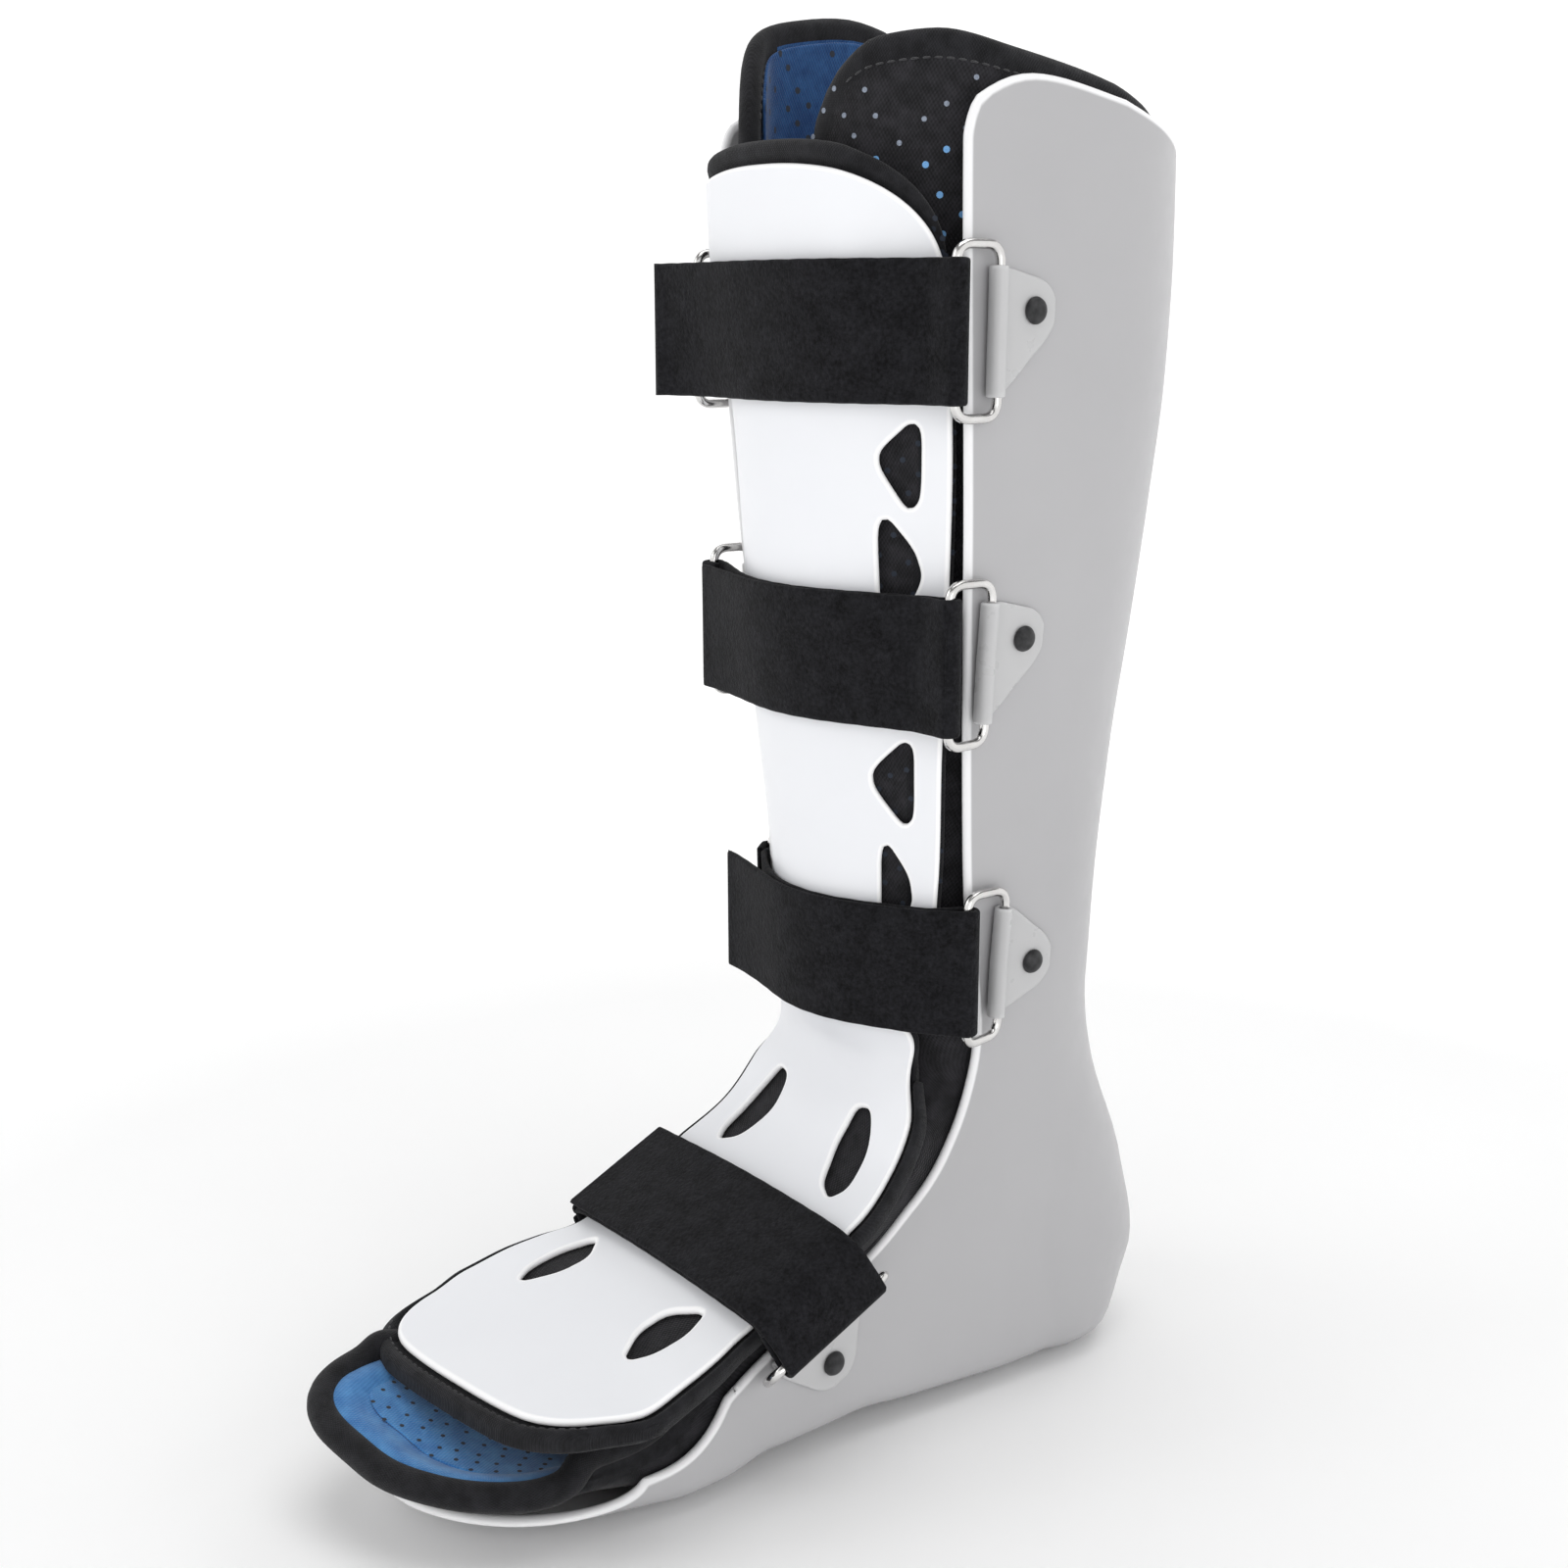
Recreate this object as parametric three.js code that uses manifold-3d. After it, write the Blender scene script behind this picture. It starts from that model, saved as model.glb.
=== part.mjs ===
// Tall walking boot: a rear shell with a padded liner, two front plates and four straps.
// Millimetres, +Z up, toe towards -Y, ground at z = 0, leg axis at x = y = 0.
import * as THREE from 'three';
import Module from 'manifold-3d';

const wasm = await Module();
wasm.setup();

// Overall sizes
const SHELL_HEIGHT = 425;
const ANKLE_HEIGHT = 135;
const FOLD_REACH = 110;
const FOOT_REACH = 219;
const CALF_DEPTH = 183;
const HEEL_DEPTH = 209;
const CALF_HALF_WIDTH = 62;
const ANKLE_HALF_WIDTH = 45;
const SOLE_HALF_WIDTH = 48;

// Walls and clearances
const GAP = 0.35;
const SHELL_WALL = 3;
const LINER_PAD = 7;
const LINER_EASE = 0.65;
const TONGUE_EASE = 0.3;
const FOLD_SPARE = 1.1;
const LINING_WALL = 1.2;
const PLATE_WALL = 2.5;
const TONGUE_PAD = 5;
const STRAP_WALL = 2;
const STRAP_WIDTH = 41;

// Front plates
const PLATE_HALF_WIDTH = 54;
const PLATE_DEPTH = 60;
const PLATE_TOP = 400;
const PLATE_BOTTOM = 152;
const PLATE_CORNER = 36;
const INSTEP_TOP = 144;
const INSTEP_REACH = 197;
const TONGUE_RIM = 7;
const INSTEP_RIM = 6;
const INSTEP_SKEW = 7;

// Liner
const NEAR_FLAP_TOP = 436;
const FAR_FLAP_TOP = 452;
const TOE_LIFT = 8;
const TOE_SPREAD = 7;
const TOE_OVERHANG = 9;
const TOE_SKEW = 12;
const LINER_SKEW = 15;
const RIM_HEIGHT = 8;
const TOE_RIM = 15;

// Hardware
const WIRE = 3;
const RING_DEPTH = 16;
const INSTEP_RING_DEPTH = 9;
const RING_SPARE = 2.4;
const TAB_WALL = 1.2;
const RIVET_HEAD = 8;
const RIVET_DOME = 2.2;
const RIVET_SHANK = 4;
const RIVET_SEAT = 0.4;
const RIB_HEIGHT = 3.5;
const RIB_HALF_WIDTH = 24;

// Depths of the layers inside the shell's outer face
const LINER_D = SHELL_WALL + GAP + LINER_EASE;
const LINING_D = LINER_D + LINER_PAD + GAP;

// Stations: up the calf from the fold line, then 90 degrees of turn, then along the foot
const LEG = SHELL_HEIGHT - ANKLE_HEIGHT;
const FORE = FOOT_REACH - FOLD_REACH;
const legStation = (share) => -share * LEG;
const heightStation = (z) => ANKLE_HEIGHT - z;
const foreStation = (share) => 90 + share * FORE;
const reachStation = (reach) => 90 + reach - FOLD_REACH;

function place(s, x, r) {
  if (s <= 0) return [x, r - FOLD_REACH, ANKLE_HEIGHT - s];
  if (s >= 90) return [x, -FOLD_REACH - (s - 90), ANKLE_HEIGHT - r];
  const a = (s * Math.PI) / 180;
  return [x, r * Math.cos(a) - FOLD_REACH, ANKLE_HEIGHT - r * Math.sin(a)];
}

function stationOf(y, z) {
  const dy = y + FOLD_REACH;
  const dz = ANKLE_HEIGHT - z;
  if (dz <= 0) return [dz, dy];
  if (dy <= 0) return [90 - dy, dz];
  return [(Math.atan2(dz, dy) * 180) / Math.PI, Math.hypot(dy, dz)];
}

// Smooth column of a table, without overshoot between rows
function column(xs, ys) {
  const n = xs.length;
  const slope = (i) => (ys[i + 1] - ys[i]) / (xs[i + 1] - xs[i]);
  const m = ys.map((y, i) => {
    if (i === 0) return slope(0);
    if (i === n - 1) return slope(n - 2);
    const a = slope(i - 1);
    const b = slope(i);
    return a * b > 0 ? (2 * a * b) / (a + b) : 0;
  });
  return (x0) => {
    const x = Math.min(Math.max(x0, xs[0]), xs[n - 1]);
    let i = 0;
    while (i < n - 2 && x > xs[i + 1]) i += 1;
    const h = xs[i + 1] - xs[i];
    const t = (x - xs[i]) / h;
    const u = 1 - t;
    return ys[i] * (1 + 2 * t) * u * u + m[i] * h * t * u * u
      + ys[i + 1] * t * t * (3 - 2 * t) - m[i + 1] * h * t * t * u;
  };
}

// Rows of three zones, each with its own width and depth scale, joined into one table
function sections(names, zones) {
  const rows = [];
  for (const zone of zones) {
    for (const [at, ...cells] of zone.rows) {
      const row = { s: zone.station(at) };
      names.forEach((name, i) => {
        row[name] = cells[i] * (zone[name] ?? 1);
      });
      rows.push(row);
    }
  }
  const xs = rows.map((row) => row.s);
  const columns = names.map((name) => column(xs, rows.map((row) => row[name])));
  return (s) => Object.fromEntries(names.map((name, i) => [name, columns[i](s)]));
}

// Rear shell: share along the zone, half width, depth, bow, squareness, edge half width, edge depth
const shellAt = sections(['w', 'rb', 'b', 'n', 'we', 're'], [
  { station: (k) => legStation(1 - k), w: CALF_HALF_WIDTH, rb: CALF_DEPTH, b: CALF_HALF_WIDTH,
    we: CALF_HALF_WIDTH, re: CALF_DEPTH,
    rows: [
      [0.00, 1.000, 0.940, 0.90, 2.0, 1.000, 0.293],
      [0.17, 1.000, 0.948, 0.93, 2.0, 1.000, 0.298],
      [0.30, 0.995, 0.940, 0.93, 2.0, 0.990, 0.307],
      [0.43, 0.970, 0.915, 0.90, 2.0, 0.965, 0.320],
      [0.57, 0.925, 0.885, 0.85, 2.0, 0.915, 0.338],
      [0.72, 0.855, 0.852, 0.77, 2.0, 0.850, 0.362],
      [0.87, 0.775, 0.838, 0.71, 2.0, 0.770, 0.396],
      [1.00, 0.720, 0.835, 0.68, 2.0, 0.710, 0.440],
    ] },
  { station: (k) => 90 * k, w: ANKLE_HALF_WIDTH, rb: HEEL_DEPTH, b: HEEL_DEPTH,
    we: ANKLE_HALF_WIDTH, re: HEEL_DEPTH,
    rows: [
      [0.13, 0.960, 0.770, 0.210, 2.0, 0.950, 0.392],
      [0.26, 0.970, 0.904, 0.268, 2.1, 0.940, 0.392],
      [0.37, 1.000, 1.000, 0.278, 2.3, 0.933, 0.392],
      [0.44, 1.000, 1.000, 0.230, 2.6, 0.933, 0.390],
      [0.54, 0.985, 0.875, 0.155, 2.9, 0.933, 0.384],
      [0.64, 0.955, 0.765, 0.110, 3.1, 0.945, 0.383],
      [0.72, 0.945, 0.705, 0.096, 3.2, 0.956, 0.383],
      [0.83, 0.955, 0.651, 0.091, 3.2, 0.978, 0.402],
    ] },
  { station: foreStation, w: SOLE_HALF_WIDTH, rb: ANKLE_HEIGHT, b: ANKLE_HEIGHT,
    we: SOLE_HALF_WIDTH, re: ANKLE_HEIGHT,
    rows: [
      [0.00, 0.93, 0.975, 0.126, 3.2, 0.920, 0.667],
      [0.18, 0.97, 0.996, 0.126, 3.2, 0.940, 0.748],
      [0.30, 0.98, 0.998, 0.126, 3.2, 0.960, 0.810],
      [0.40, 0.97, 0.988, 0.122, 3.2, 0.960, 0.840],
      [0.65, 0.95, 0.958, 0.110, 3.2, 0.940, 0.850],
      [1.00, 0.90, 0.918, 0.100, 3.2, 0.890, 0.830],
    ] },
]);

// Front plates: share along the zone, middle depth, panel half width, crease depth, half width, depth
const frontAt = sections(['r0', 'c', 'rc', 'xe', 're'], [
  { station: (k) => legStation(1 - k), r0: PLATE_DEPTH, c: PLATE_HALF_WIDTH, rc: PLATE_DEPTH,
    xe: PLATE_HALF_WIDTH, re: PLATE_DEPTH,
    rows: [
      [0.07, 0.417, 0.630, 0.492, 1.020, 0.783],
      [0.17, 0.433, 0.630, 0.517, 1.035, 0.850],
      [0.35, 0.517, 0.574, 0.640, 1.018, 0.932],
      [0.51, 0.567, 0.556, 0.700, 0.970, 0.965],
      [0.68, 0.633, 0.519, 0.755, 0.905, 0.985],
      [0.84, 0.700, 0.481, 0.830, 0.825, 1.033],
      [1.00, 0.755, 0.444, 0.867, 0.750, 1.033],
    ] },
  { station: (k) => 90 * k, r0: PLATE_DEPTH, c: PLATE_HALF_WIDTH, rc: PLATE_DEPTH,
    xe: PLATE_HALF_WIDTH, re: PLATE_DEPTH,
    rows: [
      [0.16, 0.900, 0.430, 0.940, 0.650, 1.024],
      [0.33, 0.967, 0.480, 0.990, 0.775, 1.025],
      [0.50, 0.983, 0.520, 1.005, 0.820, 1.030],
      [0.70, 0.985, 0.540, 1.005, 0.875, 1.025],
      [0.85, 1.020, 0.550, 1.040, 0.880, 1.080],
    ] },
  { station: foreStation, r0: ANKLE_HEIGHT, c: PLATE_HALF_WIDTH, rc: ANKLE_HEIGHT,
    xe: PLATE_HALF_WIDTH, re: ANKLE_HEIGHT,
    rows: [
      [0.00, 0.493, 0.560, 0.504, 0.885, 0.520],
      [0.13, 0.544, 0.580, 0.556, 0.900, 0.573],
      [0.25, 0.570, 0.600, 0.580, 0.972, 0.595],
      [0.36, 0.593, 0.620, 0.601, 1.020, 0.615],
      [0.49, 0.622, 0.630, 0.630, 1.045, 0.644],
      [0.63, 0.650, 0.600, 0.652, 0.960, 0.661],
      [0.90, 0.693, 0.550, 0.695, 0.900, 0.700],
    ] },
]);

// Liner: share along the zone, lip depth behind the plate, wrap round the front, toe lift
const linerAt = sections(['lip', 'wrap', 'lift'], [
  { station: (k) => legStation(1 - k), lip: PLATE_DEPTH, lift: TOE_LIFT,
    rows: [[0, 0.33, 1, 0], [1, 0.30, 1, 0]] },
  { station: (k) => 90 * k, lip: PLATE_DEPTH, lift: TOE_LIFT,
    rows: [[0.3, 0.33, 1, 0], [0.8, 0.33, 1, 0]] },
  { station: foreStation, lip: PLATE_DEPTH, lift: TOE_LIFT,
    rows: [
      [0.02, 0.260, 0.80, 0.00],
      [0.12, 0.240, 0.30, 0.02],
      [0.22, 0.220, 0.00, 0.08],
      [0.36, 0.240, 0.00, 0.30],
      [0.52, 0.260, 0.00, 0.60],
      [0.65, 0.290, 0.00, 0.85],
      [1.00, 0.200, 0.00, 1.00],
    ] },
]);

const clamp = (x, lo, hi) => Math.min(Math.max(x, lo), hi);
const mix = (a, b, k) => a + (b - a) * k;
const ease = (x) => {
  const k = clamp(x, 0, 1);
  return k * k * (3 - 2 * k);
};
const arch = (k, power) => Math.pow(Math.max(0, 1 - Math.pow(clamp(k, 0, 1), power)), 1 / power);

// Rear shell section, t = 0 at the back or sole, t = 1 at the free edge, inset by d
const CORNER = 0.62;
function ribAt(s, x) {
  const z = ANKLE_HEIGHT - s;
  const along = ease((z - 0.43 * SHELL_HEIGHT) / (0.08 * SHELL_HEIGHT))
    * ease((0.845 * SHELL_HEIGHT - z) / (0.05 * SHELL_HEIGHT));
  return RIB_HEIGHT * along * ease((RIB_HALF_WIDTH - Math.abs(x)) / 6);
}

// Depth at which a layer meets its own level above the ground
function groundDepth(s, d) {
  return s <= 0 ? 1e6 : (ANKLE_HEIGHT - d) / Math.sin((Math.min(s, 90) * Math.PI) / 180);
}

function wallPoint(s, t, d) {
  const q = shellAt(s);
  const side = q.rb - q.b;
  if (t <= CORNER) {
    const a = (Math.PI / 2) * (t / CORNER);
    const e = 2 / q.n;
    const x = (q.w - d) * Math.pow(Math.sin(a), e);
    const r = side + (q.b - d) * Math.pow(Math.max(Math.cos(a), 0), e);
    const rib = d < 0.01 && s < 0 ? ribAt(s, x) : 0;
    return [x, Math.min(r + rib, groundDepth(s, d))];
  }
  const k = (t - CORNER) / (1 - CORNER);
  return [q.w + (q.we - q.w) * k * k - d, side + (q.re - side) * k];
}

function wallX(s, r) {
  const q = shellAt(s);
  const side = q.rb - q.b;
  if (r > side) return q.w * arch((r - side) / q.b, q.n);
  const k = (side - r) / (side - q.re);
  return q.w + (q.we - q.w) * k * k;
}

const SIDE_END = foreStation(0.45);
const WING_END = foreStation(0.17);
function shellEnd(t, side) {
  if (t <= CORNER) {
    const x = Math.pow(Math.sin((Math.PI / 2) * (t / CORNER)), 2 / 3.2);
    return mix(SIDE_END, foreStation(1), arch(x, 2.4)) - side * x * TOE_SKEW * arch(x, 4);
  }
  return mix(SIDE_END, WING_END, ease((t - CORNER) / (1 - CORNER)));
}

const shellRim = sections(['top'], [
  { station: (t) => t, top: SHELL_HEIGHT,
    rows: [
      [0.00, 0.944], [0.30, 0.955], [0.50, 0.973], [0.65, 0.987], [0.78, 0.997], [0.88, 1.000],
      [0.94, 0.992], [0.98, 0.976], [1.00, 0.953],
    ] },
]);
const shellTop = (t) => heightStation(shellRim(t).top);

// Front plate section, k = 0 in the middle, k = 1 at the edge, offset towards the leg by d
function frontRaw(s, k) {
  const q = frontAt(s);
  if (k < 0.5) {
    const h = k / 0.5;
    return [q.c * h, mix(q.r0, q.rc, h * h)];
  }
  const h = (k - 0.5) / 0.5;
  return [mix(q.c, q.xe, h), mix(q.rc, q.re, h)];
}

function frontPoint(s, k, d) {
  const [x, r] = frontRaw(s, k);
  const a = frontRaw(s, Math.max(k - 0.04, 0));
  const b = frontRaw(s, k + 0.04);
  const dx = b[0] - a[0];
  const dr = b[1] - a[1];
  const len = Math.hypot(dx, dr);
  const nx = k < 0.001 ? 0 : -dr / len;
  const nr = k < 0.001 ? 1 : dx / len;
  return [x + nx * d, r + nr * d];
}

// Closed solid between two grids of points, rows by columns
function slab(outer, inner) {
  const rows = outer.length;
  const cols = outer[0].length;
  const points = [];
  for (const grid of [outer, inner]) for (const row of grid) for (const p of row) points.push(p);
  const at = (side, i, j) => side * rows * cols + i * cols + j;
  const tris = [];
  const quad = (a, b, c, d) => {
    tris.push([a, b, c], [a, c, d]);
  };
  for (let i = 0; i < rows - 1; i += 1) {
    for (let j = 0; j < cols - 1; j += 1) {
      quad(at(0, i, j), at(0, i + 1, j), at(0, i + 1, j + 1), at(0, i, j + 1));
      quad(at(1, i, j), at(1, i, j + 1), at(1, i + 1, j + 1), at(1, i + 1, j));
    }
  }
  for (let i = 0; i < rows - 1; i += 1) {
    quad(at(0, i, 0), at(1, i, 0), at(1, i + 1, 0), at(0, i + 1, 0));
    quad(at(0, i, cols - 1), at(0, i + 1, cols - 1), at(1, i + 1, cols - 1), at(1, i, cols - 1));
  }
  for (let j = 0; j < cols - 1; j += 1) {
    quad(at(0, 0, j), at(0, 0, j + 1), at(1, 0, j + 1), at(1, 0, j));
    quad(at(0, rows - 1, j), at(1, rows - 1, j), at(1, rows - 1, j + 1), at(0, rows - 1, j + 1));
  }
  return solid(points, tris);
}

// Indexed solid, turned so that its faces point outwards
function solid(points, tris) {
  let volume = 0;
  for (const [a, b, c] of tris) {
    const [p, q, r] = [points[a], points[b], points[c]];
    volume += p[0] * (q[1] * r[2] - q[2] * r[1]) + p[1] * (q[2] * r[0] - q[0] * r[2])
      + p[2] * (q[0] * r[1] - q[1] * r[0]);
  }
  const out = volume < 0 ? tris.map(([a, b, c]) => [a, c, b]) : tris;
  return { points, tris: out };
}

function toManifold({ points, tris }) {
  const mesh = new wasm.Mesh({
    numProp: 3,
    vertProperties: new Float32Array(points.flat()),
    triVerts: new Uint32Array(tris.flat()),
  });
  mesh.merge();
  return new wasm.Manifold(mesh);
}

function fromManifold(body) {
  const mesh = body.getMesh();
  const points = [];
  const n = mesh.numProp;
  for (let i = 0; i < mesh.vertProperties.length; i += n) {
    points.push([mesh.vertProperties[i], mesh.vertProperties[i + 1], mesh.vertProperties[i + 2]]);
  }
  const tris = [];
  for (let i = 0; i < mesh.triVerts.length; i += 3) {
    tris.push([mesh.triVerts[i], mesh.triVerts[i + 1], mesh.triVerts[i + 2]]);
  }
  return { points, tris };
}

function cut(body, cutters) {
  let result = toManifold(body);
  for (const cutter of cutters) result = result.subtract(toManifold(cutter));
  return fromManifold(result);
}

// Prism between two copies of one outline
function prism(front, back) {
  const n = front.length;
  const flat = [];
  const origin = new THREE.Vector3(...front[0]);
  const u = new THREE.Vector3(...front[1]).sub(origin).normalize();
  const w = new THREE.Vector3(...back[0]).sub(origin).normalize();
  const v = new THREE.Vector3().crossVectors(w, u).normalize();
  for (const p of front) {
    const d = new THREE.Vector3(...p).sub(origin);
    flat.push(new THREE.Vector2(d.dot(u), d.dot(v)));
  }
  const faces = THREE.ShapeUtils.triangulateShape(flat, []);
  const tris = [];
  for (const [a, b, c] of faces) tris.push([a, b, c], [n + a, n + c, n + b]);
  const turn = THREE.ShapeUtils.isClockWise(flat) ? -1 : 1;
  for (let i = 0; i < n; i += 1) {
    const j = (i + 1) % n;
    if (turn > 0) tris.push([j, i, n + i], [j, n + i, n + j]);
    else tris.push([i, j, n + i], [j, n + j, n + i]);
  }
  return solid([...front, ...back], tris);
}

const linspace = (a, b, n) => Array.from({ length: n + 1 }, (_, i) => mix(a, b, i / n));

// Stations from a free top to a free end; the rows between are shared by every layer
const LEG_ROWS = [0.88, 0.73, 0.57, 0.40, 0.20].map(legStation);
const TURN_ROWS = [0, 0.13, 0.25, 0.34, 0.42, 0.50, 0.62, 0.75, 0.88, 1].map((k) => 90 * k);
const FORE_ROWS = [0.07, 0.14].map(foreStation);
function stationRun(top, end, foreSteps) {
  const last = FORE_ROWS[FORE_ROWS.length - 1];
  return [top, ...LEG_ROWS, ...TURN_ROWS, ...FORE_ROWS, ...linspace(last, end, foreSteps).slice(1)];
}
function linerRun(top, end, foreSteps) {
  return [...stationRun(top, end - TOE_RIM, foreSteps), end - 0.4 * TOE_RIM, end];
}

const parts = [];
function add(name, body, material) {
  parts.push({ name, body, material });
}

const colour = (hex, roughness, metalness) => ({ color: hex, roughness, metalness });
const SHELL_GREY = colour(0xb9b8ba, 0.42, 0);
const PLATE_WHITE = colour(0xe9eaec, 0.35, 0);
const FELT_BLACK = colour(0x1d1d20, 0.95, 0);
const LINER_BLACK = colour(0x19191c, 0.9, 0);
const LINING_BLUE = colour(0x2a6aa8, 0.9, 0);
const NICKEL = colour(0xc9c9cb, 0.22, 1);
const TAB_GREY = colour(0xc6c6c8, 0.4, 0);
const RIVET_BLACK = colour(0x1a1a1c, 0.4, 0);

// Rear shell
const WALL_COLUMNS = linspace(0, CORNER, 5);
const EDGE_COLUMNS = [0.76, 0.88, 0.95, 1];
function shellGrid(d) {
  const half = [...WALL_COLUMNS, ...EDGE_COLUMNS];
  const ts = [...half.slice(1).map((t) => -t).reverse(), ...half];
  const runs = ts.map((t) => stationRun(shellTop(Math.abs(t)), shellEnd(Math.abs(t), Math.sign(t)), 4));
  return runs[0].map((_, i) => ts.map((t, j) => {
    const s = runs[j][i];
    const [x, r] = wallPoint(s, Math.abs(t), d);
    return place(s, Math.sign(t) * x, r);
  }));
}

// Half section of a liner layer, from the back or sole round to the front
const FRONT_STACK = PLATE_WALL + TONGUE_PAD + TONGUE_EASE + 2 * GAP + FOLD_SPARE;
const NEAR_WRAP = 0.16;
const FAR_WRAP = 0.72;
const LIP_STEP = 4;
function layerHalf(s, d, hand) {
  const row = linerAt(s);
  const shell = shellAt(s);
  const lip = frontAt(s).re + row.lip;
  const side = shell.rb - shell.b;
  const reach = clamp((side - lip) / (side - shell.re), 0.2, 1.6);
  const path = WALL_COLUMNS.map((t) => wallPoint(s, t, d));
  for (const k of [0.5, 1]) path.push(wallPoint(s, CORNER + (1 - CORNER) * reach * k, d));
  const spread = 1 + (TOE_SPREAD / SOLE_HALF_WIDTH) * ease((s - foreStation(0.55)) / (0.25 * FORE));
  for (const p of path) {
    p[0] *= spread;
    p[1] -= row.lift * clamp((p[1] - lip) / (shell.rb - lip), 0, 1);
  }
  const [xLip, rLip] = path[path.length - 1];
  const depth = FRONT_STACK + d - LINER_D;
  const last = hand > 0 ? NEAR_WRAP : FAR_WRAP;
  for (let i = 1; i <= 3; i += 1) {
    const [x, r] = frontPoint(s, mix(1, last, (i - 1) / 2), depth);
    path.push([mix(xLip, x, row.wrap), mix(rLip - (LIP_STEP * i) / 3, r, row.wrap)]);
  }
  return path;
}

// Share of the half section's length at each of its columns
function columnShares(hand) {
  const path = layerHalf(legStation(0.7), LINER_D, hand);
  const sums = [0];
  for (let i = 1; i < path.length; i += 1) {
    sums.push(sums[i - 1] + Math.hypot(path[i][0] - path[i - 1][0], path[i][1] - path[i - 1][1]));
  }
  return sums.map((sum) => sum / sums[sums.length - 1]);
}

// Liner top edge, share along the half section: height of the near and of the far flap
const linerRim = sections(['near', 'far'], [
  { station: (v) => v, near: NEAR_FLAP_TOP, far: FAR_FLAP_TOP,
    rows: [
      [0.00, 0.933, 0.900], [0.25, 0.940, 0.910], [0.40, 0.963, 0.960], [0.52, 0.979, 0.990],
      [0.64, 0.990, 1.000], [0.76, 1.000, 0.994], [0.86, 0.996, 0.980], [0.93, 0.980, 0.955],
      [0.98, 0.950, 0.920], [1.00, 0.920, 0.885],
    ] },
]);
function linerTop(v, side, drop) {
  const rim = linerRim(v);
  return heightStation((side > 0 ? rim.near : rim.far) - drop);
}

function linerEnd(column, side) {
  const s = foreStation(0.8);
  const [x] = layerHalf(s, LINER_D, side)[column];
  const k = clamp(x / (shellAt(s).w - LINER_D + TOE_SPREAD), 0, 1);
  const toe = foreStation(1) + TOE_OVERHANG;
  return mix(foreStation(0.55), toe, arch(k, 3.6)) - side * k * LINER_SKEW;
}

// Grid of one surface of a layer; pick chooses the columns and rows that are kept
function layerGrid(d, options) {
  const { drop = 0, lipRise = 0, columns = 99, rows = () => true } = options;
  const halves = { 1: columnShares(1), '-1': columnShares(-1) };
  const count = Math.min(columns, halves[1].length - 1);
  const ids = [];
  for (let j = -count; j <= count; j += 1) ids.push(j);
  const runs = ids.map((j) => {
    const side = j < 0 ? -1 : 1;
    const column = Math.abs(j);
    return linerRun(linerTop(halves[side][column], side, drop), linerEnd(column, side), 4);
  });
  const kept = runs[0].map((_, i) => i).filter((i) => rows(i, runs[0].length));
  return kept.map((i) => ids.map((j, n) => {
    const side = j < 0 ? -1 : 1;
    const s = runs[n][i];
    const [x, r] = layerHalf(s, d, side)[Math.abs(j)];
    return place(s, side * x, r - (i >= runs[0].length - 2 ? lipRise : 0));
  }));
}

const shellBody = slab(shellGrid(0), shellGrid(SHELL_WALL));
const linerBody = slab(
  layerGrid(LINER_D, {}),
  layerGrid(LINER_D + LINER_PAD, { lipRise: RIM_HEIGHT }),
);
const cuffRows = { drop: 8, columns: 9, rows: (i) => i <= 4 };
const cuffBody = slab(layerGrid(LINING_D, cuffRows), layerGrid(LINING_D + LINING_WALL, cuffRows));
const toeRows = { columns: 4, rows: (i, n) => i >= n - 7 && i <= n - 3 };
const toeBody = slab(layerGrid(LINING_D, toeRows), layerGrid(LINING_D + LINING_WALL, toeRows));

// Plates and tongues
function panel(top, end, d, wall, ks, steps) {
  const grid = (depth) => {
    const runs = ks.map((k) => steps(top(Math.abs(k)), end(k)));
    return runs[0].map((_, i) => ks.map((k, j) => {
      const s = runs[j][i];
      const [x, r] = frontPoint(s, Math.abs(k), depth);
      return place(s, Math.sign(k) * x, r);
    }));
  };
  return slab(grid(d), grid(d + wall));
}

const shinTop = (rim) => (k) => heightStation(
  PLATE_TOP + rim - PLATE_CORNER * (1 - arch(k, 2.4)),
);
const shinEnd = (rim) => (k) => heightStation(
  PLATE_BOTTOM - rim + 10 * (1 - arch(Math.abs(k), 3)),
);
const instepTop = (rim) => (k) => heightStation(INSTEP_TOP + rim) + 26 * (1 - arch(k, 2.2));
const instepEnd = (rim) => (k) => mix(
  reachStation(INSTEP_REACH - 30), reachStation(INSTEP_REACH), arch(Math.abs(k), 2.8),
) + rim - INSTEP_SKEW * k;
const shinKs = [-1, -0.84, -0.68, -0.5, -0.25, 0, 0.25, 0.5, 0.68, 0.84, 1];
const instepKs = [-1, -0.88, -0.68, -0.34, 0, 0.34, 0.68, 0.88, 1];
const shinSteps = (a, b) => [a, a + 5, a + 14, ...linspace(a + 30, b - 12, 6), b - 4, b];
const instepSteps = (a, b) => [...linspace(a, 45, 4), 58, 72, 90, ...linspace(100, b - 22, 3),
  b - 12, b - 4, b];

// Cut-outs as outlines of (station share or degree, half-width position), both sides
function windows(outlines) {
  const cutters = [];
  for (const outline of outlines) {
    for (const side of [1, -1]) {
      const ring = (d) => outline.map(([s, x]) => {
        const q = frontAt(s);
        const k = x < q.c ? 0.5 * (x / q.c) : 0.5 + (0.5 * (x - q.c)) / (q.xe - q.c);
        const p = frontPoint(s, k, d);
        return place(s, side * p[0], p[1]);
      });
      cutters.push(prism(ring(-4), ring(PLATE_WALL + 4)));
    }
  }
  return cutters;
}

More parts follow.
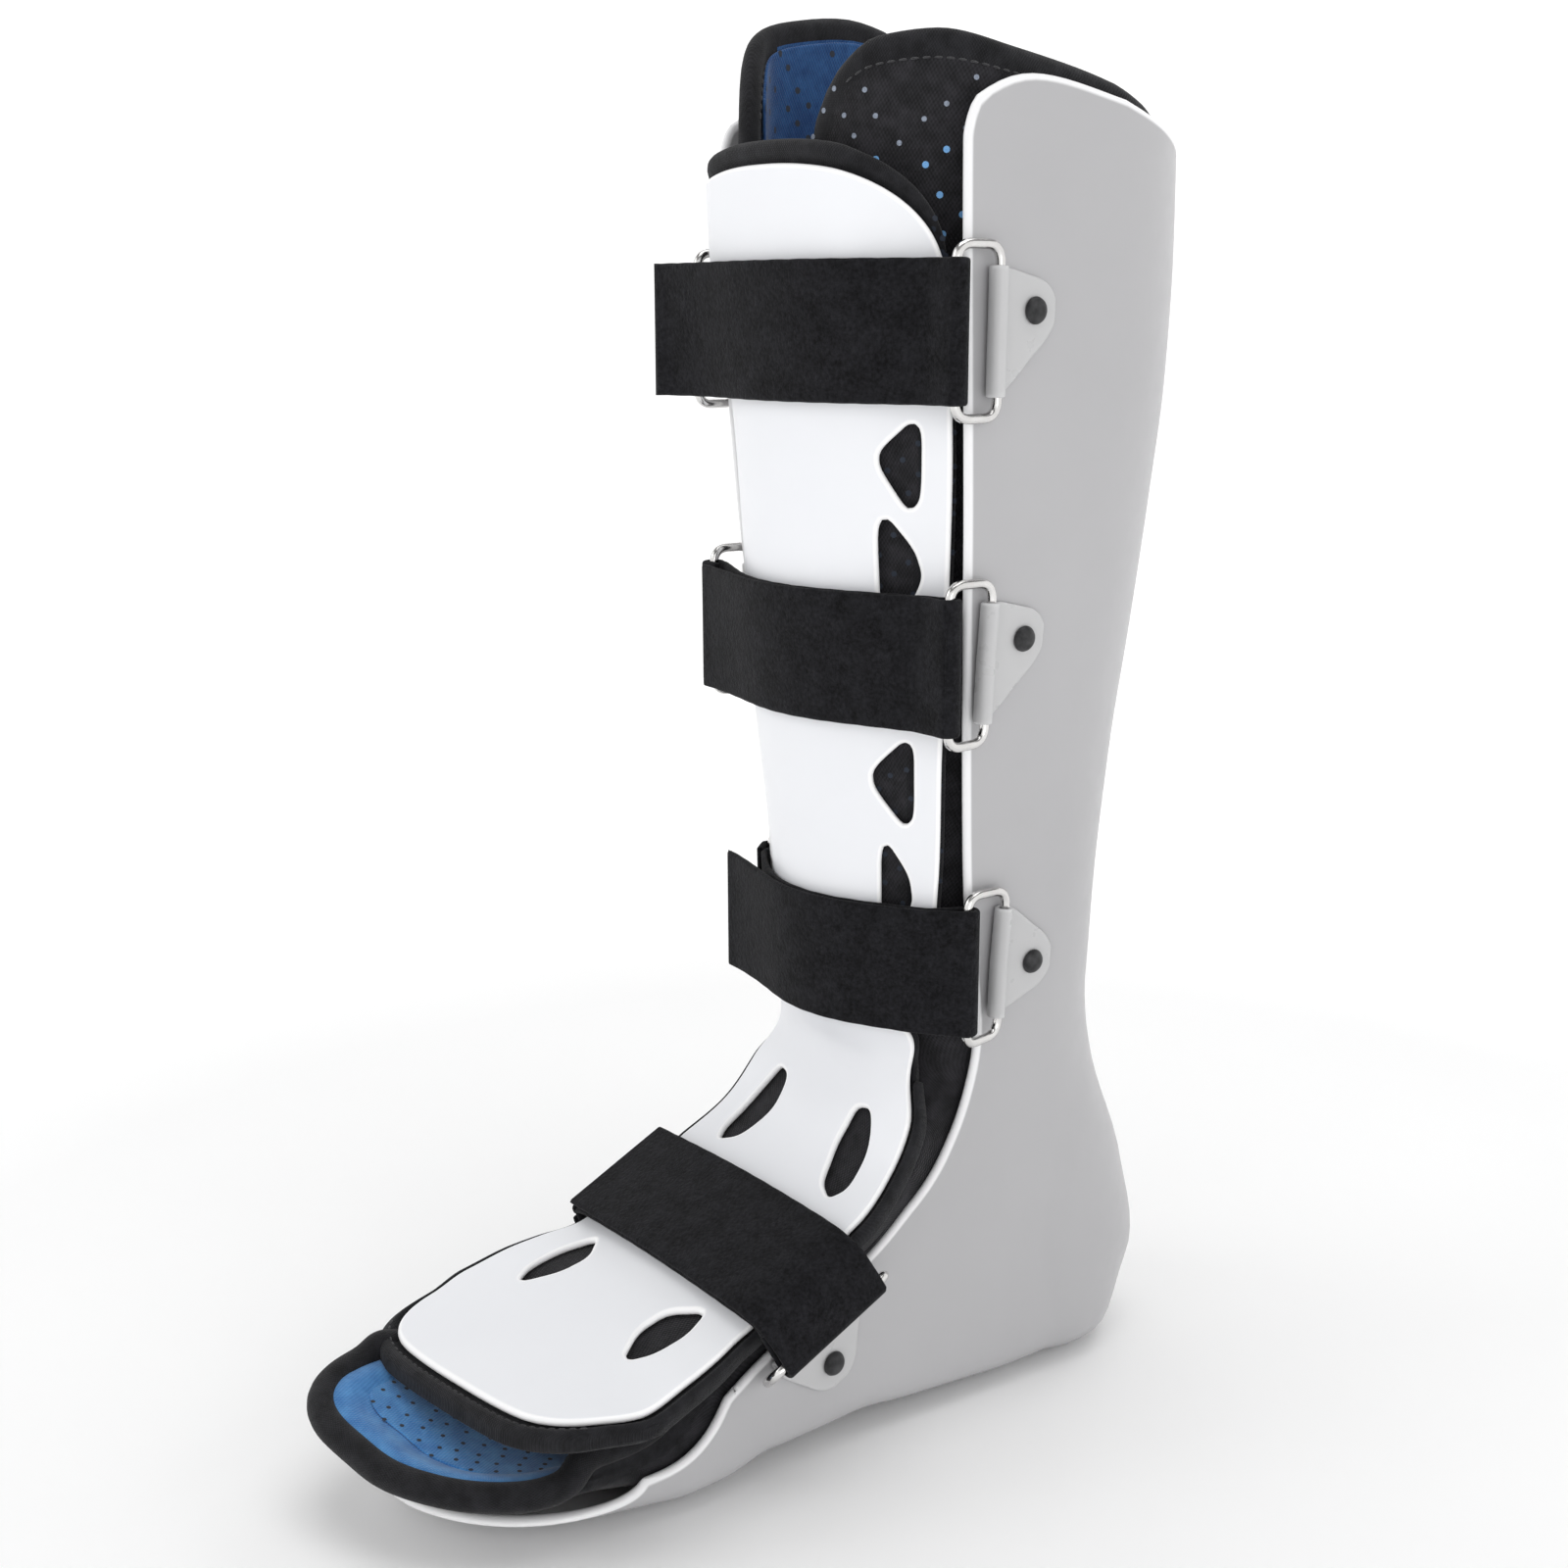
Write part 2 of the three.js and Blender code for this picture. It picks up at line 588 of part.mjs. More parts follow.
const SHIN_WINDOWS = [
  [[0.657, 0.86], [0.585, 0.84], [0.575, 0.80], [0.612, 0.70], [0.626, 0.70]],
  [[0.561, 0.67], [0.525, 0.80], [0.498, 0.83], [0.440, 0.66]],
  [[0.324, 0.75], [0.245, 0.72], [0.237, 0.68], [0.272, 0.57], [0.288, 0.57]],
  [[0.208, 0.57], [0.170, 0.67], [0.142, 0.68], [0.095, 0.54]],
].map((outline) => outline.map(([share, x]) => [legStation(share), x * PLATE_HALF_WIDTH]));
const INSTEP_WINDOWS = [
  [[0.365, 0.37], [0.352, 0.47], [0.470, 0.57], [0.590, 0.61], [0.640, 0.56], [0.605, 0.45],
    [0.480, 0.36]].map(([share, x]) => [90 * share, x * PLATE_HALF_WIDTH]),
  [[0.180, 0.60], [0.245, 0.47], [0.330, 0.48], [0.415, 0.60], [0.355, 0.67],
    [0.260, 0.67]].map(([share, x]) => [foreStation(share), x * PLATE_HALF_WIDTH]),
];

const shinPlate = panel(shinTop(0), shinEnd(0), 0, PLATE_WALL, shinKs, shinSteps);
const shinTongue = panel(shinTop(TONGUE_RIM), shinEnd(0), PLATE_WALL + GAP + TONGUE_EASE, TONGUE_PAD,
  shinKs, shinSteps);
const instepPlate = panel(instepTop(0), instepEnd(0), 0, PLATE_WALL, instepKs, instepSteps);
const instepTongue = panel(instepTop(0), instepEnd(INSTEP_RIM), PLATE_WALL + GAP + TONGUE_EASE, TONGUE_PAD,
  [-1.1, ...instepKs, 1.1], instepSteps);

// Frame of a strap: x across the boot, q into it, w along the strap's width
function strapFrame(lower, upper) {
  const mid = lower.map((c, i) => (c + upper[i]) / 2);
  const len = Math.hypot(...upper.map((c, i) => c - lower[i]));
  const across = upper.map((c, i) => (c - lower[i]) / len);
  const inward = [0, across[2], -across[1]];
  return (x, q, w) => [x, mid[1] + inward[1] * q + across[1] * w, mid[2] + inward[2] * q + across[2] * w];
}

// Each strap: its edges, wire place, free end and the plate under it
const STRAPS = [
  { name: 'top', at: legStation(0.748), wire: [1.050, 0.80], end: [-0.87, 0.40], depth: RING_DEPTH,
    rise: 6 },
  { name: 'calf', at: legStation(0.414), wire: [0.985, 0.85], end: [-0.89, 0.71], depth: RING_DEPTH,
    rise: 6 },
  { name: 'ankle', at: legStation(0.072), wire: [0.840, 1.14], end: [-0.85, 0.84], depth: RING_DEPTH,
    rise: -3 },
];

const HALF = STRAP_WIDTH / 2;
const LAYER = STRAP_WALL + GAP;
const WIRE_TURN = WIRE / 2 + GAP + STRAP_WALL / 2;

// Centre line of a strap at one of its edges
function strapLine(nodes, wire, end) {
  const [xw, qw] = wire;
  const last = nodes[nodes.length - 1];
  const tilt = Math.hypot(xw - last[0], qw - last[1]);
  const along = [(xw - last[0]) / tilt, (qw - last[1]) / tilt];
  const out = [along[1], -along[0]];
  const tip = [xw - out[0] * WIRE_TURN, qw - out[1] * WIRE_TURN];
  const half = [...nodes, tip];
  const xs = [...half.slice(1).map((p) => -p[0]).reverse(), ...half.map((p) => p[0])];
  const qs = [...half.slice(1).map((p) => p[1]).reverse(), ...half.map((p) => p[1])];
  const q = column(xs, qs);
  const line = [];
  const turn = (side, from, to) => {
    for (const phi of linspace(from, to, 4)) {
      const a = (phi * Math.PI) / 180;
      line.push([
        side * (xw + WIRE_TURN * (-out[0] * Math.cos(a) + along[0] * Math.sin(a))),
        qw + WIRE_TURN * (-out[1] * Math.cos(a) + along[1] * Math.sin(a)),
      ]);
    }
  };
  const back = WIRE_TURN + 5;
  line.push([-(xw - along[0] * back) - out[0] * 2.6, qw - along[1] * back + out[1] * 2.6]);
  turn(-1, 180, 0);
  const stops = [...nodes.slice(1).map((p) => -p[0]).reverse(), ...nodes.map((p) => p[0])];
  const foot = tip[0] - STRAP_WALL;
  for (const x of [-foot, ...stops, foot]) line.push([x, q(x)]);
  turn(1, 0, 180);
  const outer = (x) => {
    const slope = q(x + 0.5) - q(x - 0.5);
    const len = Math.hypot(1, slope);
    return [x + (slope / len) * LAYER, q(x) - LAYER / len];
  };
  const bend = -nodes[2][0];
  for (const x of stops.reverse().filter((stop) => stop >= bend)) line.push(outer(x));
  const [xb, qb] = line[line.length - 1];
  const lead = outer(bend + 2);
  const pitch = (qb - lead[1]) / (xb - lead[0]);
  for (const k of [0.35, 0.7, 1]) {
    const x = mix(xb, end[0], k);
    const straight = qb + pitch * (x - xb);
    line.push([x, straight + (end[1] - qb - pitch * (end[0] - xb)) * k * k]);
  }
  return line;
}

// Band of cloth or sheet between two edge lines
function bandBody(frame, lower, upper, wall, halfLower, halfUpper) {
  const side = (line, sign) => line.map((p, i) => {
    const a = line[Math.max(i - 1, 0)];
    const b = line[Math.min(i + 1, line.length - 1)];
    const len = Math.hypot(b[0] - a[0], b[1] - a[1]);
    const n = [-(b[1] - a[1]) / len, (b[0] - a[0]) / len];
    return [p[0] + sign * n[0] * (wall / 2), p[1] + sign * n[1] * (wall / 2)];
  });
  const grid = (sign) => {
    const a = side(lower, sign);
    const b = side(upper, sign);
    return a.map((p, i) => [frame(p[0], p[1], -halfLower[i]), frame(b[i][0], b[i][1], halfUpper[i])]);
  };
  return slab(grid(-1), grid(1));
}

// Closed wire loop through four corners
function wireLoop(corners, radius, sides) {
  const path = [];
  corners.forEach((c, i) => {
    const before = corners[(i + 3) % 4];
    const after = corners[(i + 1) % 4];
    const step = (to) => {
      const len = Math.hypot(...to.map((v, k) => v - c[k]));
      return c.map((v, k) => v + ((to[k] - v) * Math.min(WIRE * 0.9, len / 3)) / len);
    };
    const a = step(before);
    const b = step(after);
    path.push(a, c.map((v, k) => 0.25 * a[k] + 0.5 * v + 0.25 * b[k]), b);
  });
  const n = path.length;
  const v = (p) => new THREE.Vector3(...p);
  const normal = v(corners[1]).sub(v(corners[0])).cross(v(corners[2]).sub(v(corners[0]))).normalize();
  const points = [];
  for (let i = 0; i < n; i += 1) {
    const along = v(path[(i + 1) % n]).sub(v(path[(i + n - 1) % n])).normalize();
    const wide = new THREE.Vector3().crossVectors(along, normal).normalize();
    for (let j = 0; j < sides; j += 1) {
      const a = (2 * Math.PI * j) / sides;
      points.push(v(path[i]).addScaledVector(wide, radius * Math.cos(a))
        .addScaledVector(normal, radius * Math.sin(a)).toArray());
    }
  }
  const tris = [];
  for (let i = 0; i < n; i += 1) {
    for (let j = 0; j < sides; j += 1) {
      const a = i * sides + j;
      const b = i * sides + ((j + 1) % sides);
      const c = ((i + 1) % n) * sides + ((j + 1) % sides);
      const d = ((i + 1) % n) * sides + j;
      tris.push([a, b, c], [a, c, d]);
    }
  }
  return solid(points, tris);
}

// Turned body: profile of (radius, height) from one axis point to the other
function turned(profile, base, axis, sides) {
  const n = new THREE.Vector3(...axis).normalize();
  const u = new THREE.Vector3(0, 0, 1).cross(n).normalize();
  const w = new THREE.Vector3().crossVectors(n, u);
  const at = (r, h, a) => new THREE.Vector3(...base).addScaledVector(n, h)
    .addScaledVector(u, r * Math.cos(a)).addScaledVector(w, r * Math.sin(a)).toArray();
  const points = [at(0, profile[0][1], 0)];
  const rings = profile.slice(1, -1);
  rings.forEach(([r, h]) => {
    for (let j = 0; j < sides; j += 1) points.push(at(r, h, (2 * Math.PI * j) / sides));
  });
  points.push(at(0, profile[profile.length - 1][1], 0));
  const top = points.length - 1;
  const id = (i, j) => 1 + i * sides + (j % sides);
  const tris = [];
  for (let j = 0; j < sides; j += 1) {
    tris.push([0, id(0, j + 1), id(0, j)]);
    tris.push([top, id(rings.length - 1, j), id(rings.length - 1, j + 1)]);
    for (let i = 0; i < rings.length - 1; i += 1) {
      tris.push([id(i, j), id(i, j + 1), id(i + 1, j + 1)], [id(i, j), id(i + 1, j + 1), id(i + 1, j)]);
    }
  }
  return solid(points, tris);
}

const straps = STRAPS.map(({ name, at, wire, end, depth, rise }) => {
  const frame = strapFrame(place(at + HALF, 0, 0), place(at - HALF, 0, 0));
  const edge = (s) => {
    const q = frontAt(s);
    const clear = GAP + STRAP_WALL / 2;
    const nodes = [0, 0.35, 0.7, 1].map((h) => [
      h * q.c, mix(q.r0, q.rc, h * h) - clear - mix(0.3, 1, h),
    ]);
    const tip = [wire[0] * CALF_HALF_WIDTH - 1.5, wire[1] * PLATE_DEPTH + WIRE_TURN];
    const line = mix(nodes[3][1], tip[1], (q.xe - q.c) / (tip[0] - q.c));
    const last = [q.xe - 0.5, Math.min(line, q.re - clear - 2)];
    return [...nodes, last.map((v, i) => mix(nodes[3][i], v, 0.5)), last];
  };
  return { name, frame, depth, rise, wire: [wire[0] * CALF_HALF_WIDTH, wire[1] * PLATE_DEPTH],
    end: [end[0] * CALF_HALF_WIDTH, end[1] * PLATE_DEPTH],
    lower: edge(at + HALF), upper: edge(at - HALF) };
});

// Instep strap lies flat over the instep plate
const INSTEP_UPPER = [-0.798, 0.612];
const INSTEP_LOWER = [-1.155, 0.468];
const instepUpper = [0, INSTEP_UPPER[0] * FOLD_REACH, INSTEP_UPPER[1] * ANKLE_HEIGHT];
const instepLower = [0, INSTEP_LOWER[0] * FOLD_REACH, INSTEP_LOWER[1] * ANKLE_HEIGHT];
const instepFrame = strapFrame(instepLower, instepUpper);
const instepNodes = [0, 0.3, 0.6, 0.85, 1, 1.1].map((k) => {
  const depths = [-HALF, -HALF / 2, 0, HALF / 2, HALF].map((w) => {
    const [, y, z] = instepFrame(0, 0, w);
    const [s] = stationOf(y, z);
    const pad = k > 1 ? PLATE_WALL + GAP + TONGUE_EASE : 0;
    const [x, r] = frontPoint(s, k, pad);
    const p = place(s, x, r);
    const base = instepFrame(0, 0, 0);
    const unit = instepFrame(0, 1, 0);
    return [x, (p[1] - base[1]) * (unit[1] - base[1]) + (p[2] - base[2]) * (unit[2] - base[2])];
  });
  return [Math.max(...depths.map((p) => p[0])), Math.min(...depths.map((p) => p[1]))];
});
const instepLine = instepNodes.map(([x, q], i) => [
  x + [0, 0, 0, 0.5, 1.5, 3][i], q - GAP - STRAP_WALL / 2 - 0.5,
]);
straps.push({
  name: 'instep', frame: instepFrame, depth: INSTEP_RING_DEPTH, rise: 0,
  wire: [0.94 * CALF_HALF_WIDTH, 0.317 * PLATE_DEPTH], end: [-0.86 * CALF_HALF_WIDTH, 0.017 * PLATE_DEPTH],
  lower: instepLine, upper: instepLine,
});

// Shell surface under a strap frame
function shellSide(frame, q, w) {
  const [, y, z] = frame(0, q, w);
  const [s, r] = stationOf(y, z);
  return wallX(s, r);
}

const TAB_LIFT = GAP + TAB_WALL / 2;
const TAB_TURN = WIRE / 2 + GAP + TAB_WALL / 2 + 0.25;
const TAB_REACH = 15.5;
const TAB_END = 24;
const tabHalf = (k) => mix(HALF - 2, 5.5, ease(k)) - (k > 0.85 ? 2.5 * ((k - 0.85) / 0.15) : 0);
const holes = [];
const hardware = [];
for (const strap of straps) {
  const { name, frame, wire, end, depth, rise } = strap;
  const lower = strapLine(strap.lower, wire, end);
  const upper = strapLine(strap.upper, wire, end);
  const halves = lower.map(() => HALF);
  hardware.push([`strap_${name}`, bandBody(frame, lower, upper, STRAP_WALL, halves, halves), FELT_BLACK]);
  for (const side of [1, -1]) {
    const tag = side > 0 ? 'near' : 'far';
    const spare = HALF + RING_SPARE + WIRE / 2;
    const rear = wire[1] + depth;
    const seat = (q, w) => Math.max(shellSide(frame, q, w), shellSide(frame, q, w * 0.5)) + TAB_LIFT;
    const rearX = (w) => seat(rear, w) + TAB_TURN;
    const flip = (p) => [side * p[0], p[1], p[2]];
    hardware.push([`ring_${name}_${tag}`, wireLoop([
      frame(wire[0], wire[1], -spare), frame(wire[0], wire[1], spare),
      frame(rearX(HALF), rear, spare), frame(rearX(-HALF), rear, -spare),
    ].map(flip), WIRE / 2, 5), NICKEL]);
    const line = (w) => {
      const path = [[seat(rear + 4, w), rear + 4, 0.1]];
      for (const phi of [0, 45, 90, 135, 180]) {
        const a = (phi * Math.PI) / 180;
        path.push([rearX(w) - TAB_TURN * Math.cos(a), rear - TAB_TURN * Math.sin(a), 0]);
      }
      for (const k of [0.45, 0.6, 0.75, 0.88, 1]) {
        const q = rear + TAB_END * k;
        path.push([seat(q, w * (1.2 - k) + rise * ease(k)), q, k]);
      }
      return path;
    };
    const low = line(-HALF);
    const high = line(HALF);
    const tip = (sign) => low.map((p) => tabHalf(p[2]) + sign * rise * ease(p[2]));
    const tab = bandBody((x, q, w) => flip(frame(x, q, w)), low, high, TAB_WALL, tip(-1), tip(1));
    const q = rear + TAB_REACH;
    const onShell = (dq, w) => frame(shellSide(frame, q + dq, w + rise), q + dq, w + rise);
    const v = (p) => new THREE.Vector3(...p);
    const normal = v(onShell(2, 0)).sub(v(onShell(-2, 0)))
      .cross(v(onShell(0, 4)).sub(v(onShell(0, -4)))).normalize();
    if (normal.x < 0) normal.negate();
    const base = v(onShell(0, 0)).addScaledVector(normal, GAP + TAB_WALL + RIVET_SEAT);
    const axis = flip(normal.toArray());
    const seatPoint = flip(base.toArray());
    const top = RIVET_HEAD / 2;
    const shank = RIVET_SHANK / 2;
    const rivet = turned([
      [0, -GAP - TAB_WALL - RIVET_SEAT - SHELL_WALL + 0.4],
      [shank, -GAP - TAB_WALL - RIVET_SEAT - SHELL_WALL + 0.4],
      [shank, 0.1], [top, 0.1], [top, 0.5], [top * 0.72, 0.1 + RIVET_DOME * 0.75],
      [0, 0.1 + RIVET_DOME],
    ], seatPoint, axis, 8);
    const hole = turned([[0, -9], [shank + 0.3, -9], [shank + 0.3, 5], [0, 5]], seatPoint, axis, 8);
    holes.push(hole);
    hardware.push([`tab_${name}_${tag}`, cut(tab, [hole]), TAB_GREY]);
    hardware.push([`rivet_${name}_${tag}`, rivet, RIVET_BLACK]);
  }
}

add('rear_shell', cut(shellBody, holes), SHELL_GREY);
add('liner', linerBody, LINER_BLACK);
add('cuff_lining', cuffBody, LINING_BLUE);
add('toe_lining', toeBody, LINING_BLUE);
add('shin_plate', cut(shinPlate, windows(SHIN_WINDOWS)), PLATE_WHITE);
add('shin_tongue', shinTongue, LINER_BLACK);
add('instep_plate', cut(instepPlate, windows(INSTEP_WINDOWS)), PLATE_WHITE);
add('instep_tongue', instepTongue, LINER_BLACK);
for (const [name, body, material] of hardware) add(name, body, material);

const group = new THREE.Group();
for (const { name, body, material } of parts) {
  const geometry = new THREE.BufferGeometry();
  geometry.setAttribute('position', new THREE.Float32BufferAttribute(body.points.flat(), 3));
  geometry.setIndex(body.tris.flat());
  geometry.computeVertexNormals();
  const mesh = new THREE.Mesh(geometry, new THREE.MeshStandardMaterial(material));
  mesh.name = name;
  group.add(mesh);
}
export default group;
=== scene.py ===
# Walking boot: fine surfaces, cloth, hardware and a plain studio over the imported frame
import math
from functools import lru_cache

import bpy
import numpy as np
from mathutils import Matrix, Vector
from mathutils.geometry import delaunay_2d_cdt
from mathutils.kdtree import KDTree


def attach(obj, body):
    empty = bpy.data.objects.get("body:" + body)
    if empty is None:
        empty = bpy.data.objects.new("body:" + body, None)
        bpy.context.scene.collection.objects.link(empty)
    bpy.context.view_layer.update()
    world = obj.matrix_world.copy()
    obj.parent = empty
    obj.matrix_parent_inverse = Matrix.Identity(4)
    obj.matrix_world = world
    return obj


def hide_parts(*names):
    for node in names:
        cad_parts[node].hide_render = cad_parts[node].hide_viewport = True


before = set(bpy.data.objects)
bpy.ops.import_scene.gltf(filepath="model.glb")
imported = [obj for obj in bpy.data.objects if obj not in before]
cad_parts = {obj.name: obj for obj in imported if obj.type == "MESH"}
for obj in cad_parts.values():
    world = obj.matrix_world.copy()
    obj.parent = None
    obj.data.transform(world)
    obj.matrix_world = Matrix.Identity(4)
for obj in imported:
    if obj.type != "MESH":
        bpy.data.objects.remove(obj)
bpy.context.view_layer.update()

# Sizes in millimetres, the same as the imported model's
SHELL_HEIGHT, ANKLE_HEIGHT, FOLD_REACH, FOOT_REACH = 425, 135, 110, 219
CALF_DEPTH, HEEL_DEPTH = 183, 209
CALF_HALF_WIDTH, ANKLE_HALF_WIDTH, SOLE_HALF_WIDTH = 62, 45, 48
GAP, SHELL_WALL, LINER_PAD, LINER_EASE = 0.35, 3, 7, 0.65
TONGUE_EASE, FOLD_SPARE, LINING_WALL, PLATE_WALL = 0.3, 1.1, 1.2, 2.5
TONGUE_PAD, STRAP_WALL, STRAP_WIDTH = 5, 2, 41
PLATE_HALF_WIDTH, PLATE_DEPTH, PLATE_TOP, PLATE_BOTTOM = 54, 60, 400, 152
PLATE_CORNER, INSTEP_TOP, INSTEP_REACH = 36, 144, 197
TONGUE_RIM, INSTEP_RIM, INSTEP_SKEW = 7, 6, 7
NEAR_FLAP_TOP, FAR_FLAP_TOP = 436, 452
TOE_LIFT, TOE_SPREAD, TOE_OVERHANG, TOE_SKEW, LINER_SKEW = 8, 7, 9, 12, 15
TOE_RIM, FINE_RIM, TOE_CURL = 15, 2.5, 11
WIRE, RING_DEPTH, INSTEP_RING_DEPTH, RING_SPARE = 3, 16, 9, 2.4
TAB_WALL, RIVET_HEAD, RIVET_DOME, RIVET_SEAT = 1.2, 8, 2.2, 0.4
RIB_HEIGHT, RIB_HALF_WIDTH = 3.5, 24
LINER_D = SHELL_WALL + GAP + LINER_EASE
LINING_D = LINER_D + LINER_PAD + GAP
LEG = SHELL_HEIGHT - ANKLE_HEIGHT
FORE = FOOT_REACH - FOLD_REACH
HALF = STRAP_WIDTH / 2
CORNER = 0.62


# Stations up the calf, round the ankle and along the foot
def leg_station(share):
    return -share * LEG


def height_station(z):
    return ANKLE_HEIGHT - z


def fore_station(share):
    return 90 + share * FORE


def reach_station(reach):
    return 90 + reach - FOLD_REACH


def place(s, x, r):
    if s <= 0:
        return (x, r - FOLD_REACH, ANKLE_HEIGHT - s)
    if s >= 90:
        return (x, -FOLD_REACH - (s - 90), ANKLE_HEIGHT - r)
    a = math.radians(s)
    return (x, r * math.cos(a) - FOLD_REACH, ANKLE_HEIGHT - r * math.sin(a))


def station_of(y, z):
    dy, dz = y + FOLD_REACH, ANKLE_HEIGHT - z
    if dz <= 0:
        return dz, dy
    if dy <= 0:
        return 90 - dy, dz
    return math.degrees(math.atan2(dz, dy)), math.hypot(dy, dz)


def clamp(x, lo, hi):
    return min(max(x, lo), hi)


def mix(a, b, k):
    return a + (b - a) * k


def ease(x):
    k = clamp(x, 0.0, 1.0)
    return k * k * (3 - 2 * k)


def arch(k, power):
    return max(0.0, 1 - clamp(k, 0.0, 1.0) ** power) ** (1 / power)


def column(xs, ys):
    n = len(xs)
    slopes = [(ys[i + 1] - ys[i]) / (xs[i + 1] - xs[i]) for i in range(n - 1)]
    m = [slopes[0]]
    for a, b in zip(slopes, slopes[1:]):
        m.append(2 * a * b / (a + b) if a * b > 0 else 0.0)
    m.append(slopes[-1])

    def at(x0):
        x = clamp(x0, xs[0], xs[-1])
        i = 0
        while i < n - 2 and x > xs[i + 1]:
            i += 1
        h = xs[i + 1] - xs[i]
        t = (x - xs[i]) / h
        u = 1 - t
        return (ys[i] * (1 + 2 * t) * u * u + m[i] * h * t * u * u
                + ys[i + 1] * t * t * (3 - 2 * t) - m[i + 1] * h * t * t * u)
    return at


def sections(zones):
    xs, rows = [], []
    for station, scale, table in zones:
        for at, *cells in table:
            xs.append(station(at))
            rows.append([c * k for c, k in zip(cells, scale)])
    columns = [column(xs, [row[i] for row in rows]) for i in range(len(rows[0]))]

    @lru_cache(maxsize=None)
    def at(s):
        return tuple(c(s) for c in columns)
    return at


def leg_zone(k):
    return leg_station(1 - k)


def turn_zone(k):
    return 90 * k


# Half width, depth, bow, squareness, edge half width, edge depth
shell_at = sections([
    (leg_zone, (CALF_HALF_WIDTH, CALF_DEPTH, CALF_HALF_WIDTH, 1, CALF_HALF_WIDTH, CALF_DEPTH), [
        (0.00, 1.000, 0.940, 0.90, 2.0, 1.000, 0.293),
        (0.17, 1.000, 0.948, 0.93, 2.0, 1.000, 0.298),
        (0.30, 0.995, 0.940, 0.93, 2.0, 0.990, 0.307),
        (0.43, 0.970, 0.915, 0.90, 2.0, 0.965, 0.320),
        (0.57, 0.925, 0.885, 0.85, 2.0, 0.915, 0.338),
        (0.72, 0.855, 0.852, 0.77, 2.0, 0.850, 0.362),
        (0.87, 0.775, 0.838, 0.71, 2.0, 0.770, 0.396),
        (1.00, 0.720, 0.835, 0.68, 2.0, 0.710, 0.440)]),
    (turn_zone, (ANKLE_HALF_WIDTH, HEEL_DEPTH, HEEL_DEPTH, 1, ANKLE_HALF_WIDTH, HEEL_DEPTH), [
        (0.13, 0.960, 0.770, 0.210, 2.0, 0.950, 0.392),
        (0.26, 0.970, 0.904, 0.268, 2.1, 0.940, 0.392),
        (0.37, 1.000, 1.000, 0.278, 2.3, 0.933, 0.392),
        (0.44, 1.000, 1.000, 0.230, 2.6, 0.933, 0.390),
        (0.54, 0.985, 0.875, 0.155, 2.9, 0.933, 0.384),
        (0.64, 0.955, 0.765, 0.110, 3.1, 0.945, 0.383),
        (0.72, 0.945, 0.705, 0.096, 3.2, 0.956, 0.383),
        (0.83, 0.955, 0.651, 0.091, 3.2, 0.978, 0.402)]),
    (fore_station, (SOLE_HALF_WIDTH, ANKLE_HEIGHT, ANKLE_HEIGHT, 1, SOLE_HALF_WIDTH, ANKLE_HEIGHT), [
        (0.00, 0.93, 0.975, 0.126, 3.2, 0.920, 0.667),
        (0.18, 0.97, 0.996, 0.126, 3.2, 0.940, 0.748),
        (0.30, 0.98, 0.998, 0.126, 3.2, 0.960, 0.810),
        (0.40, 0.97, 0.988, 0.122, 3.2, 0.960, 0.840),
        (0.65, 0.95, 0.958, 0.110, 3.2, 0.940, 0.850),
        (1.00, 0.90, 0.918, 0.100, 3.2, 0.890, 0.830)]),
])

# Middle depth, panel half width, crease depth, half width, depth
LEG_PLATE = (PLATE_DEPTH, PLATE_HALF_WIDTH, PLATE_DEPTH, PLATE_HALF_WIDTH, PLATE_DEPTH)
FORE_PLATE = (ANKLE_HEIGHT, PLATE_HALF_WIDTH, ANKLE_HEIGHT, PLATE_HALF_WIDTH, ANKLE_HEIGHT)
front_at = sections([
    (leg_zone, LEG_PLATE, [
        (0.07, 0.417, 0.630, 0.492, 1.020, 0.783),
        (0.17, 0.433, 0.630, 0.517, 1.035, 0.850),
        (0.35, 0.517, 0.574, 0.640, 1.018, 0.932),
        (0.51, 0.567, 0.556, 0.700, 0.970, 0.965),
        (0.68, 0.633, 0.519, 0.755, 0.905, 0.985),
        (0.84, 0.700, 0.481, 0.830, 0.825, 1.033),
        (1.00, 0.755, 0.444, 0.867, 0.750, 1.033)]),
    (turn_zone, LEG_PLATE, [
        (0.16, 0.900, 0.430, 0.940, 0.650, 1.024),
        (0.33, 0.967, 0.480, 0.990, 0.775, 1.025),
        (0.50, 0.983, 0.520, 1.005, 0.820, 1.030),
        (0.70, 0.985, 0.540, 1.005, 0.875, 1.025),
        (0.85, 1.020, 0.550, 1.040, 0.880, 1.080)]),
    (fore_station, FORE_PLATE, [
        (0.00, 0.493, 0.560, 0.504, 0.885, 0.520),
        (0.13, 0.544, 0.580, 0.556, 0.900, 0.573),
        (0.25, 0.570, 0.600, 0.580, 0.972, 0.595),
        (0.36, 0.593, 0.620, 0.601, 1.020, 0.615),
        (0.49, 0.622, 0.630, 0.630, 1.045, 0.644),
        (0.63, 0.650, 0.600, 0.652, 0.960, 0.661),
        (0.90, 0.693, 0.550, 0.695, 0.900, 0.700)]),
])

